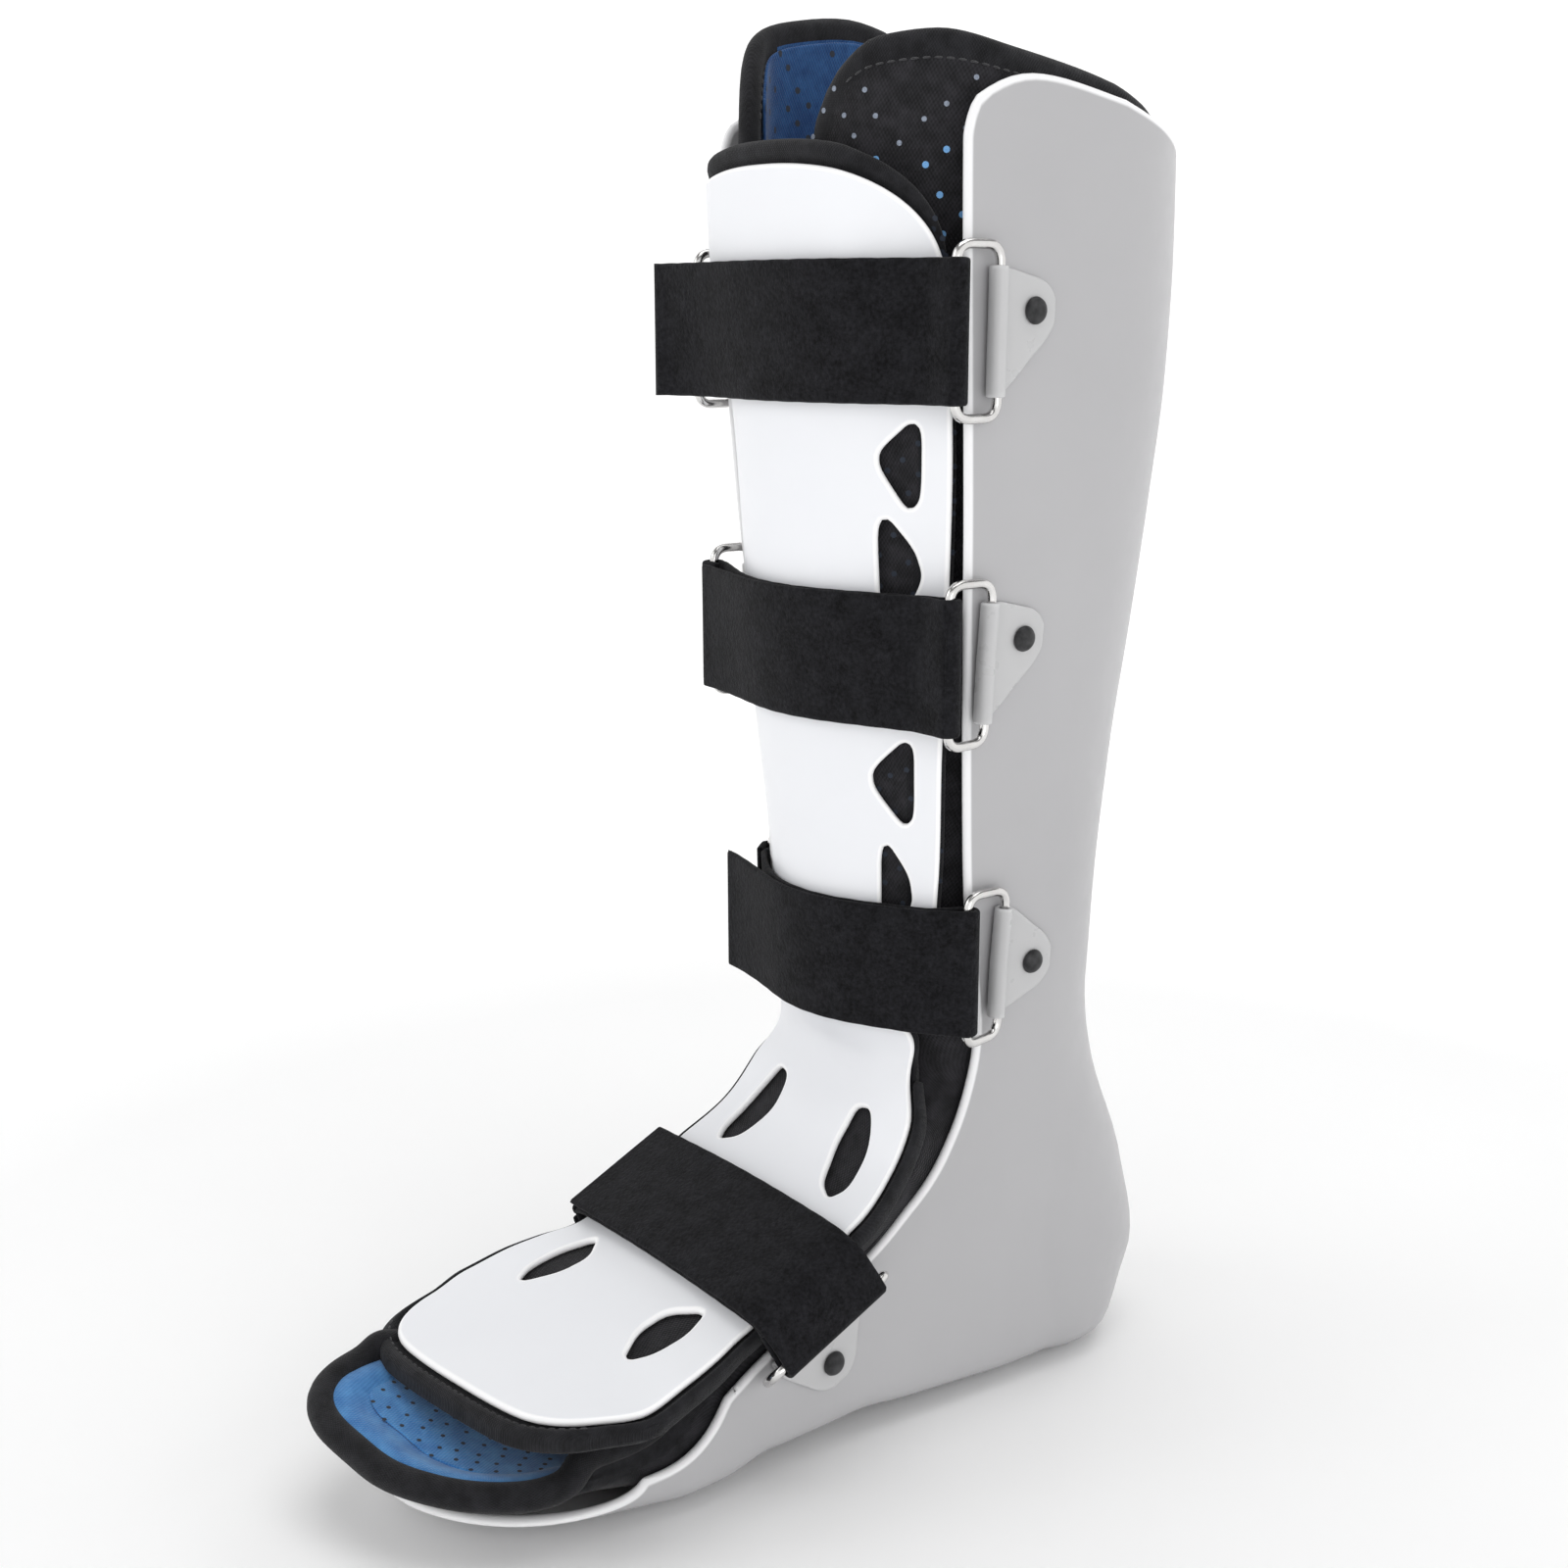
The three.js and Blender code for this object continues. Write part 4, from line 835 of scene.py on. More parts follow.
liner_columns = columns(LAST_COL)
liner_runs = [fine_run(liner_top(SHARES[side][col], side, 0), liner_end(col, side), 20, 8, 5, 30)
              for col, side in liner_columns]
liner_outer = layer_grid(LINER_D, liner_columns, liner_runs)
toe_gap = line_distance(liner_outer, liner_outer[-1])
toe_rise = FINE_RIM * np.vectorize(ease)((TOE_RIM - toe_gap) / (0.6 * TOE_RIM))
liner_inner = layer_grid(LINER_D + LINER_PAD, liner_columns, liner_runs, toe_rise)
liner = slab_object("liner_fine", liner_outer, liner_inner,
                    [KNIT_BLACK, BINDING_BLACK, KNIT_BLUE, KNIT_BLUE_SHADED],
                    pick=rim_pick, nodes=("liner",), slot="liner")


# Bound edge round the toe, which runs on along both lips
BINDING_R, BINDING_SIDES, BINDING_POINTS, BINDING_PASSES, BINDING_BACK = 4.5, 20, 300, 45, 36


def binding():
    middle = (liner_outer + liner_inner) / 2
    back = -BINDING_BACK
    line = np.concatenate([middle[back:-1, 0], middle[-1], middle[-2:back - 1:-1, -1]])
    run = run_of(line)
    at = np.linspace(0, run[-1], BINDING_POINTS)
    path = averaged(sampled(line, run, at), 1, BINDING_POINTS - 1, BINDING_PASSES)
    points, faces = tube(path, BINDING_R, BINDING_SIDES, closed=False)
    uv = [(2 * math.pi * BINDING_R * j / BINDING_SIDES, s) for s in at for j in range(BINDING_SIDES)]
    new_object("toe_binding", points, outward(points, faces), [BINDING_BLACK], uv=uv, slot="liner")


binding()


# Blue linings; the cuff's is the darker blue, painted shade deep in the cuff
def lining_run(start, end, n):
    rows = [start + e for e in EDGE_STEPS[:3]] + linspace(start + EDGE_STEPS[3], end - EDGE_STEPS[3], n - 6)
    return rows + [end - e for e in EDGE_STEPS[2::-1]]


def lining(name, count, start, end, n, material):
    places = columns(count)
    runs = [lining_run(start(col, side), end(col, side), n) for col, side in places]
    outer = layer_grid(LINING_D, places, runs)
    inner = layer_grid(LINING_D + LINING_WALL, places, runs)
    slab_object(f"{name}_fine", outer, inner, [material], nodes=(name,), slot="lining")
    return outer, inner


cuff_outer, cuff_inner = lining(
    "cuff_lining", WALL_N + LIP_N + 11, lambda col, side: liner_top(SHARES[side][col], side, 8),
    lambda col, side: leg_station(0.40), 80, KNIT_BLUE_SHADED)
toe_outer, toe_inner = lining(
    "toe_lining", int(WALL_N * 0.86), lambda col, side: fore_station(0.14),
    lambda col, side: liner_end(col, side) - TOE_RIM, 60, KNIT_BLUE)


# Plates: triangulated in (share of half width, station) with close rings along every edge
CORNER_CUT = 0.32


def rounded(outline):
    out = []
    count = len(outline)
    for i, p in enumerate(outline):
        a, b = outline[i - 1], outline[(i + 1) % count]
        start = [mix(p[k], a[k], CORNER_CUT) for k in (0, 1)]
        stop = [mix(p[k], b[k], CORNER_CUT) for k in (0, 1)]
        for t in linspace(0, 1, 5):
            out.append([start[k] * (1 - t) ** 2 + 2 * p[k] * t * (1 - t) + stop[k] * t * t for k in (0, 1)])
    return out


def resample(loop, step):
    p = np.array([*loop, loop[0]])
    run = run_of(p)
    n = max(8, int(round(run[-1] / step)))
    return sampled(p, run, np.linspace(0, run[-1], n, endpoint=False))


def shift_loop(loop, distance):
    ahead = unit(np.roll(loop, -1, axis=0) - np.roll(loop, 1, axis=0))
    area = 0.5 * np.sum(loop[:, 0] * np.roll(loop[:, 1], -1) - np.roll(loop[:, 0], -1) * loop[:, 1])
    side = np.stack([-ahead[:, 1], ahead[:, 0]], axis=1) * (1 if area > 0 else -1)
    return loop + side * distance


def inside(points, loop):
    x, y = points[:, 0], points[:, 1]
    result = np.zeros(len(points), dtype=bool)
    a, b = loop, np.roll(loop, -1, axis=0)
    for (x1, y1), (x2, y2) in zip(a, b):
        hit = (y1 > y) != (y2 > y)
        with np.errstate(divide="ignore", invalid="ignore"):
            cross = x < (x2 - x1) * (y - y1) / (y2 - y1 + 1e-30) + x1
        result ^= hit & cross
    return result


def distance_to(points, loops):
    best = np.full(len(points), 1e9)
    for loop in loops:
        for start in range(0, len(points), 4000):
            chunk = points[start:start + 4000]
            gap = np.linalg.norm(chunk[:, None] - loop[None], axis=2).min(axis=1)
            best[start:start + 4000] = np.minimum(best[start:start + 4000], gap)
    return best


PLATE_RINGS, PLATE_PITCH = [0.10, 0.34, 0.72, 1.2, 1.9], 2.2


def plate(name, node, outline, holes):
    loops = [resample(outline, 0.9)] + [resample(h, 0.6) for h in holes]
    points = list(loops)
    for distance in PLATE_RINGS:
        points.append(shift_loop(loops[0], distance))
        points += [shift_loop(h, -distance) for h in loops[1:]]
    low, high = loops[0].min(axis=0), loops[0].max(axis=0)
    gx, gy = np.meshgrid(*(np.arange(a, b, PLATE_PITCH) for a, b in zip(low, high)))
    grid = np.stack([gx.ravel(), gy.ravel()], axis=1)
    grid = grid[inside(grid, loops[0])]
    for h in loops[1:]:
        grid = grid[~inside(grid, h)]
    grid = grid[distance_to(grid, loops) > PLATE_RINGS[-1] + 0.8]
    points.append(grid)
    flat = np.vstack(points)
    edges, start = [], 0
    for loop in loops:
        edges += [(start + i, start + (i + 1) % len(loop)) for i in range(len(loop))]
        start += len(loop)
    verts, _, faces, _, _, _ = delaunay_2d_cdt([Vector(p) for p in flat], edges, [], 1, 1e-5)
    flat = np.array([list(v) for v in verts])
    centres = np.array([flat[list(f)].mean(axis=0) for f in faces])
    keep = inside(centres, loops[0])
    for h in loops[1:]:
        keep &= ~inside(centres, h)
    faces = [f for f, k in zip(faces, keep) if k]
    gap = distance_to(flat, [resample(loop, 0.12) for loop in loops])
    gap[gap < 0.09] = 0
    r = PLATE_WALL / 2
    f = np.sqrt(np.clip(1 - (1 - np.clip(gap / r, 0, 1)) ** 2, 0, 1))
    outer, inner = [], []
    for (x, s), k in zip(flat, f):
        share = abs(x) / PLATE_HALF_WIDTH
        for target, depth in ((outer, r - r * k), (inner, r + r * k)):
            px, pr = front_point(s, min(share, 1.0), depth)
            target.append(place(s, math.copysign(px, x), pr))
    count = {}
    for face in faces:
        for a, b in zip(face, face[1:] + face[:1]):
            key = (min(a, b), max(a, b))
            count[key] = count.get(key, 0) + 1
    border = {v for key, n in count.items() if n == 1 for v in key}
    used = sorted({v for face in faces for v in face})
    top = {v: i for i, v in enumerate(used)}
    pts = [outer[v] if v not in border else [(a + b) / 2 for a, b in zip(outer[v], inner[v])] for v in used]
    rim = [gap[v] for v in used]
    under = dict(top)
    for v in used:
        if v not in border:
            under[v] = len(pts)
            pts.append(inner[v])
            rim.append(gap[v])
    solid = [tuple(top[v] for v in face) for face in faces]
    solid += [tuple(under[v] for v in reversed(face)) for face in faces]
    return new_object(name, pts, outward(pts, solid), [PLATE_WHITE], nodes=(node,), slot="plate", rim=rim)


def shin_top(k, rim=0):
    return height_station(PLATE_TOP + rim - PLATE_CORNER * (1 - arch(abs(k), 2.4)))


def shin_end(k, rim=0):
    return height_station(PLATE_BOTTOM - rim + 10 * (1 - arch(abs(k), 3)))


def instep_top(k, rim=0):
    return height_station(INSTEP_TOP + rim) + 26 * (1 - arch(abs(k), 2.2))


def instep_end(k, rim=0):
    far, near = reach_station(INSTEP_REACH - 30), reach_station(INSTEP_REACH)
    return mix(far, near, arch(abs(k), 2.8)) + rim - INSTEP_SKEW * k


def outline_of(top, end):
    ks = [math.sin(a) for a in np.linspace(-math.pi / 2, math.pi / 2, 121)]
    loop = [(k * PLATE_HALF_WIDTH, top(k)) for k in ks]
    loop += [(PLATE_HALF_WIDTH, s) for s in np.linspace(top(1), end(1), 60)[1:-1]]
    loop += [(k * PLATE_HALF_WIDTH, end(k)) for k in reversed(ks)]
    loop += [(-PLATE_HALF_WIDTH, s) for s in np.linspace(end(-1), top(-1), 60)[1:-1]]
    return loop


def window_loops(outlines):
    loops = []
    for outline in outlines:
        flat = []
        for s, x in outline:
            c, xe = front_at(s)[1], front_at(s)[3]
            k = 0.5 * x / c if x < c else 0.5 + 0.5 * (x - c) / (xe - c)
            flat.append((k * PLATE_HALF_WIDTH, s))
        middle = np.mean(flat, axis=0)
        loop = rounded([(middle + (np.array(p) - middle) * 1.12).tolist() for p in flat])
        loop = shift_loop(resample(loop, 1.2), -0.8).tolist()
        loops += [loop, [(-x, s) for x, s in loop]]
    return loops


SHIN_WINDOWS = [[(leg_station(a), b * PLATE_HALF_WIDTH) for a, b in outline] for outline in [
    [(0.657, 0.86), (0.585, 0.84), (0.575, 0.80), (0.612, 0.70), (0.626, 0.70)],
    [(0.561, 0.67), (0.525, 0.80), (0.498, 0.83), (0.440, 0.66)],
    [(0.324, 0.75), (0.245, 0.72), (0.237, 0.68), (0.272, 0.57), (0.288, 0.57)],
    [(0.208, 0.57), (0.170, 0.67), (0.142, 0.68), (0.095, 0.54)]]]
INSTEP_WINDOWS = [
    [(90 * a, b * PLATE_HALF_WIDTH) for a, b in [
        (0.365, 0.37), (0.352, 0.47), (0.470, 0.57), (0.590, 0.61), (0.640, 0.56), (0.605, 0.45),
        (0.480, 0.36)]],
    [(fore_station(a), b * PLATE_HALF_WIDTH) for a, b in [
        (0.180, 0.60), (0.245, 0.47), (0.330, 0.48), (0.415, 0.60), (0.355, 0.67), (0.260, 0.67)]]]

plate("shin_plate_fine", "shin_plate", outline_of(shin_top, shin_end), window_loops(SHIN_WINDOWS))
plate("instep_plate_fine", "instep_plate", outline_of(instep_top, instep_end), window_loops(INSTEP_WINDOWS))


# Tongues: padded, with a rolled binding past the plate's edge
SWELL, SWELL_FROM, SWELL_RUN = 2.4, 0.6, 2.8
TONGUE_BINDING, TONGUE_TOP, TONGUE_TOE = 11, 14, 22


def tongue(name, node, ks, top, end, plate_loop, counts):
    def past_plate(runs):
        flat = np.array([(k * PLATE_HALF_WIDTH, s) for k, run in zip(ks, runs) for s in run])
        gap = distance_to(flat, [resample(plate_loop, 0.7)])
        gap[inside(flat, np.array(plate_loop))] = 0
        return SWELL * np.vectorize(ease)((gap - SWELL_FROM) / SWELL_RUN).reshape(len(ks), -1)

    def grid(depth, outside):
        runs = []
        for k in ks:
            a, b = top(k), end(k)
            rows = [a + e for e in EDGE_STEPS]
            rows += linspace(rows[-1], a + TONGUE_TOP, 8)[1:]
            rows += linspace(a + TONGUE_TOP, b - TONGUE_TOE, counts)[1:]
            rows += linspace(b - TONGUE_TOE, b - EDGE_STEPS[-1], 16)[1:]
            rows += [b - e for e in EDGE_STEPS[-2::-1]]
            runs.append(rows)
        swell = past_plate(runs) if outside else np.zeros((len(ks), len(runs[0])))

        def point(i, j, s):
            x, r = front_point(s, abs(ks[j]), depth - swell[j, i])
            return place(s, math.copysign(x, ks[j]), r)
        return grid_of(runs, point)
    start = PLATE_WALL + GAP + TONGUE_EASE
    a, b = grid(start, True), grid(start + TONGUE_PAD, False)
    piece = slab_object(name, a, b, [KNIT_BLACK, BINDING_BLACK], radius=2.6,
                        pick=lambda side, c, edge: 1 if edge < TONGUE_BINDING else 0, nodes=(node,), slot="liner")
    return a, b


def edge_ks(limit, n):
    inner_ks = linspace(0, limit - 0.075, n)
    half = inner_ks + [limit - e for e in (0.052, 0.033, 0.018, 0.008, 0.002, 0.0)]
    return mirrored(half)


def tongue_end(k):
    far, near = reach_station(INSTEP_REACH - 33), reach_station(INSTEP_REACH)
    return mix(far, near, arch(abs(k) / 1.1, 2.8)) + INSTEP_RIM - INSTEP_SKEW * k


shin_front, _ = tongue("shin_tongue_fine", "shin_tongue", edge_ks(1.0, 34), lambda k: shin_top(k, TONGUE_RIM),
                       shin_end, outline_of(shin_top, shin_end), 90)
toe_front, _ = tongue("instep_tongue_fine", "instep_tongue", edge_ks(1.1, 44),
                      lambda k: instep_top(min(abs(k), 1)), tongue_end,
                      outline_of(instep_top, instep_end), 70)


# Straps
def strap_frame(lower, upper):
    lower, upper = np.array(lower, dtype=float), np.array(upper, dtype=float)
    mid = (lower + upper) / 2
    across = unit(upper - lower)
    inward = np.array([0, across[2], -across[1]])

    def at(x, q, w):
        return np.array([x, mid[1] + inward[1] * q + across[1] * w, mid[2] + inward[2] * q + across[2] * w])
    return at


LAYER = STRAP_WALL + GAP
TAIL, TAIL_OUT = 5, 2.6
WIRE_TURN = WIRE / 2 + GAP + STRAP_WALL / 2
CLEAR = GAP + STRAP_WALL / 2


def strap_line(nodes, wire, end):
    xw, qw = wire
    last = nodes[-1]
    tilt = math.hypot(xw - last[0], qw - last[1])
    along = ((xw - last[0]) / tilt, (qw - last[1]) / tilt)
    out = (along[1], -along[0])
    tip = (xw - out[0] * WIRE_TURN, qw - out[1] * WIRE_TURN)
    half = [*nodes, tip]
    q = column(mirrored([p[0] for p in half]), [p[1] for p in half[:0:-1] + half])
    line = []

    def turn(side, start, stop):
        for phi in linspace(start, stop, 6):
            a = math.radians(phi)
            line.append((side * (xw + WIRE_TURN * (-out[0] * math.cos(a) + along[0] * math.sin(a))),
                         qw + WIRE_TURN * (-out[1] * math.cos(a) + along[1] * math.sin(a))))
    back = WIRE_TURN + TAIL
    line.append((-(xw - along[0] * back) - out[0] * TAIL_OUT, qw - along[1] * back + out[1] * TAIL_OUT))
    turn(-1, 180, 0)
    stops = mirrored([p[0] for p in nodes])
    foot = tip[0] - STRAP_WALL
    for x in [-foot, *stops, foot]:
        line.append((x, q(x)))
    turn(1, 0, 180)

    def outer_at(x):
        slope = q(x + 0.5) - q(x - 0.5)
        length = math.hypot(1, slope)
        return x + slope / length * LAYER, q(x) - LAYER / length
    bend = -nodes[2][0]
    for x in [x for x in stops[::-1] if x >= bend]:
        line.append(outer_at(x))
    xb, qb = line[-1]
    lead = outer_at(bend + 2)
    pitch = (qb - lead[1]) / (xb - lead[0])
    for k in (0.35, 0.7, 1):
        x = mix(xb, end[0], k)
        line.append((x, qb + pitch * (x - xb) + (end[1] - qb - pitch * (end[0] - xb)) * k * k))
    return line


STRAPS = [
    ("top", leg_station(0.748), (1.050, 0.80), (-0.87, 0.40), RING_DEPTH, 6),
    ("calf", leg_station(0.414), (0.985, 0.85), (-0.89, 0.71), RING_DEPTH, 6),
    ("ankle", leg_station(0.072), (0.840, 1.14), (-0.85, 0.84), RING_DEPTH, -3),
]


def strap_edge(s, wire):
    r0, c, rc, xe, re = front_at(s)
    nodes = [(h * c, mix(r0, rc, h * h) - CLEAR - mix(0.3, 1, h)) for h in (0, 0.35, 0.7, 1)]
    tip = (wire[0] * CALF_HALF_WIDTH - 1.5, wire[1] * PLATE_DEPTH + WIRE_TURN)
    line = mix(nodes[3][1], tip[1], (xe - c) / (tip[0] - c))
    last = (xe - 0.5, min(line, re - CLEAR - 2))
    return [*nodes, tuple(mix(a, b, 0.5) for a, b in zip(nodes[3], last)), last]


straps = []
for name, at, wire, end, depth, rise in STRAPS:
    straps.append((name, strap_frame(place(at + HALF, 0, 0), place(at - HALF, 0, 0)), depth, rise,
                   (wire[0] * CALF_HALF_WIDTH, wire[1] * PLATE_DEPTH),
                   (end[0] * CALF_HALF_WIDTH, end[1] * PLATE_DEPTH),
                   strap_edge(at + HALF, wire), strap_edge(at - HALF, wire)))
instep_frame = strap_frame((0, -1.155 * FOLD_REACH, 0.468 * ANKLE_HEIGHT),
                           (0, -0.798 * FOLD_REACH, 0.612 * ANKLE_HEIGHT))
instep_base = instep_frame(0, 0, 0)
instep_inward = instep_frame(0, 1, 0) - instep_base
# Room past the plate's edge, where the band leaves it
INSTEP_FLARE = (0, 0, 0, 0.5, 1.5, 3)
instep_line = []
for k, flare in zip((0, 0.3, 0.6, 0.85, 1, 1.1), INSTEP_FLARE):
    xs, qs = [], []
    for w in (-HALF, -HALF / 2, 0, HALF / 2, HALF):
        _, y, z = instep_frame(0, 0, w)
        s = station_of(y, z)[0]
        x, r = front_point(s, k, PLATE_WALL + GAP + TONGUE_EASE if k > 1 else 0, soft=False)
        xs.append(x)
        qs.append(float(np.dot(np.array(place(s, x, r)) - instep_base, instep_inward)))
    instep_line.append((max(xs) + flare, min(qs) - (CLEAR + 0.5)))
straps.append(("instep", instep_frame, INSTEP_RING_DEPTH, 0, (0.94 * CALF_HALF_WIDTH, 0.317 * PLATE_DEPTH),
               (-0.86 * CALF_HALF_WIDTH, 0.017 * PLATE_DEPTH), instep_line, instep_line))


def side_normals(line):
    ahead = unit(np.gradient(line, axis=0))
    return np.stack([-ahead[:, 1], ahead[:, 0]], axis=1)


BAND_STEPS = 7
BAND_WS = mirrored([0, 0.35, 0.6, 0.8, 0.91, 0.95, 0.975, 0.994, 1])


# Waves along a band and along its edges: height, then length over a turn
WAVE, WAVE_RUN, FRAY, FRAY_RUN = 0.12, 9, 0.22, 3.1


# Eases the run across the front and the folded end; the turns round the wires stay
def relaxed(points):
    line = smooth_line(points, BAND_STEPS)
    line = averaged(line, 9 * BAND_STEPS, 18 * BAND_STEPS, 60)
    return averaged(line, 28 * BAND_STEPS + 3, len(line) - 6, 60)


def strap_body(name, at, lower, upper):
    low, high = relaxed(lower), relaxed(upper)
    n_low, n_high = side_normals(low), side_normals(high)
    outer, inner = [], []
    rng = np.random.default_rng(sum(map(ord, name)))
    phase = rng.uniform(0, 6.28, 4)
    length = run_of(low)
    for i in range(len(low)):
        rows = ([], [])
        for w in BAND_WS:
            k = (w + 1) / 2
            p = mix(low[i], high[i], k)
            n = mix(n_low[i], n_high[i], k)
            wave = WAVE * math.sin(length[i] / WAVE_RUN + phase[0]) * math.sin(w * 2.2 + phase[1])
            edge = FRAY * math.sin(length[i] / FRAY_RUN + phase[2]) * (abs(w) ** 8)
            for grid, sign in zip(rows, (-1, 1)):
                a = p + n * (sign * STRAP_WALL / 2 + wave * 0.3)
                grid.append(at(a[0], a[1], w * HALF + math.copysign(edge * 0.5, w)))
        outer.append(rows[0])
        inner.append(rows[1])
    return slab_object(f"strap_{name}_fine", outer, inner, [FELT_BLACK], radius=0.95,
                       nodes=(f"strap_{name}",), slot="strap")


# Rings, tabs and rivets
def towards(a, b, step):
    return a + unit(b - a) * min(step, np.linalg.norm(b - a) * 0.48)


def ring_body(name, corners, cut):
    path = []
    for i, c in enumerate(corners):
        before, after = corners[i - 1], corners[(i + 1) % 4]
        a, b = [towards(c, to, cut) for to in (before, after)]
        for t in linspace(0, 1, 8):
            path.append(a * (1 - t) ** 2 + 2 * c * t * (1 - t) * 0.92 + (a + b) / 2 * 2 * t * (1 - t) * 0.08
                        + b * t * t)
        path += [mix(b, towards(after, c, cut), t) for t in linspace(0, 1, 6)[1:-1]]
    points, faces = tube(path, WIRE / 2, 14)
    return new_object(f"{name}_fine", points, outward(points, faces), [NICKEL], nodes=(name,), slot="ring")


def turned(profile, base, axis, sides):
    n = unit(axis)
    u = unit(np.cross([0, 0, 1], n))
    w = np.cross(n, u)
    points = [base + n * profile[0][1]]
    for r, h in profile[1:-1]:
        for j in range(sides):
            a = 2 * math.pi * j / sides
            points.append(base + n * h + (u * math.cos(a) + w * math.sin(a)) * r)
    points.append(base + n * profile[-1][1])
    rings = len(profile) - 2
    faces = []
    for j in range(sides):
        k = (j + 1) % sides
        faces.append((0, 1 + k, 1 + j))
        faces.append((len(points) - 1, 1 + (rings - 1) * sides + j, 1 + (rings - 1) * sides + k))
        for i in range(rings - 1):
            a, b = 1 + i * sides, 1 + (i + 1) * sides
            faces.append((a + j, a + k, b + k, b + j))
    return points, faces


TAB_LIFT = GAP + TAB_WALL / 2
TAB_TURN = WIRE / 2 + GAP + TAB_WALL / 2 + 0.25
TAB_REACH, TAB_END, RING_CORNER = 15.5, 24, 5.0
TAB_WS = mirrored([0, 0.25, 0.5, 0.75, 0.9, 0.95, 0.985, 1])
TAB_BENDS = range(0, 181, 15)
# Angle round the wire, or None with a reach past it; reach; share of the way to the tab's end
TAB_STOPS = [(None, 4.0, 0.1)] + [(phi, 0, 0) for phi in TAB_BENDS]
TAB_STOPS += [(None, TAB_END * k, k) for k in (0.16, 0.24, 0.33, 0.42, 0.5, 0.58, 0.66, 0.72, 0.78,
                                               0.84, 0.89, 0.93, 0.96, 0.985, 1.0)]
HEAD = RIVET_HEAD / 2
RIVET_PROFILE = [(0, -0.9), (HEAD * 0.5, -0.9), (HEAD * 0.5, 0.02), (HEAD * 0.94, 0.02), (HEAD, 0.10),
                 (HEAD, 0.42), (HEAD * 0.97, 0.62)]
RIVET_PROFILE += [(HEAD * math.cos(a) * 0.95, 0.62 + (RIVET_DOME - 0.52) * math.sin(a))
                  for a in np.linspace(0.12, 1.45, 9)]
RIVET_PROFILE.append((0, 0.1 + RIVET_DOME))


# Half width of a tab: wide at the ring, narrow and round at the end
TAB_ROUND_FROM, TAB_TIP = 0.72, 8.5


def tab_half(k):
    cap = math.sqrt(max(0.0, 1 - max(0.0, (k - TAB_ROUND_FROM) / 0.30) ** 2))
    return mix(HALF - 2, TAB_TIP, ease(k)) * cap


for name, at, depth, rise, wire, end, lower, upper in straps:
    strap_body(name, at, strap_line(lower, wire, end), strap_line(upper, wire, end))
    for side in (1, -1):
        tag = "near" if side > 0 else "far"
        flip = np.array([side, 1, 1])
        spare = HALF + RING_SPARE + WIRE / 2
        rear = wire[1] + depth

        def shell_side(q, w):
            _, y, z = at(0, q, w)
            return wall_x(*station_of(y, z))

        def seat(q, w):
            return max(shell_side(q, w), shell_side(q, w * 0.5)) + TAB_LIFT

        def rear_x(w):
            return seat(rear, w) + TAB_TURN
        corners = [at(wire[0], wire[1], -spare), at(wire[0], wire[1], spare),
                   at(rear_x(HALF), rear, spare), at(rear_x(-HALF), rear, -spare)]
        ring_body(f"ring_{name}_{tag}", [c * flip for c in corners], RING_CORNER)

        outer, inner, lines = [], [], []
        for w in TAB_WS:
            line = []
            for phi, q, k in TAB_STOPS:
                across = w * tab_half(k) + (rise * ease(k) if phi is None and q > 4.0 else 0)
                if phi is None:
                    line.append((seat(rear + q, across), rear + q, across))
                else:
                    a = math.radians(phi)
                    line.append((rear_x(across) - TAB_TURN * math.cos(a),
                                 rear - TAB_TURN * math.sin(a), across))
            lines.append(line)
        pts = np.array(lines)
        averaged(pts[..., 0].T, len(TAB_BENDS) + 2, len(TAB_STOPS) - 1, 2)
        flat = unit(np.gradient(pts[:, :, :2], axis=1))
        n = np.stack([flat[..., 1], -flat[..., 0]], axis=2)
        for sign, grid in ((1, outer), (-1, inner)):
            moved = pts[:, :, :2] + n * (sign * TAB_WALL / 2)
            for i in range(pts.shape[1]):
                grid.append([at(*moved[j, i], pts[j, i, 2]) * flip for j in range(len(TAB_WS))])
        slab_object(f"tab_{name}_{tag}_fine", outer, inner, [TAB_GREY], radius=0.55,
                    nodes=(f"tab_{name}_{tag}",), slot="tab")

        q0 = rear + TAB_REACH

        def on_shell(dq, w):
            return at(shell_side(q0 + dq, w + rise), q0 + dq, w + rise)
        normal = unit(np.cross(on_shell(2, 0) - on_shell(-2, 0), on_shell(0, 4) - on_shell(0, -4)))
        if normal[0] < 0:
            normal = -normal
        base = on_shell(0, 0) + normal * (GAP + TAB_WALL + RIVET_SEAT)
        points, faces = turned(RIVET_PROFILE, base * flip, normal * flip, 32)
        new_object(f"rivet_{name}_{tag}_fine", points, outward(points, faces), [RIVET_BLACK],
                   nodes=(f"rivet_{name}_{tag}",), slot="rivet")


# Small discs for the perforations and short capsules for the stitches, laid on a grid surface
def grid_frame(grid):
    du, dv = np.gradient(grid, axis=1), np.gradient(grid, axis=0)
    return unit(np.cross(du, dv))


def facing_sign(grid, other):
    n = grid_frame(grid)
    return n * np.sign(np.sum(n * (grid - other), axis=2, keepdims=True))


HOLE_LIFT, HOLE_SNAP, HOLE_SIDES = 0.06, 3.0, 10
STITCH_LIFT, STITCH_SIDES = 0.1, 6


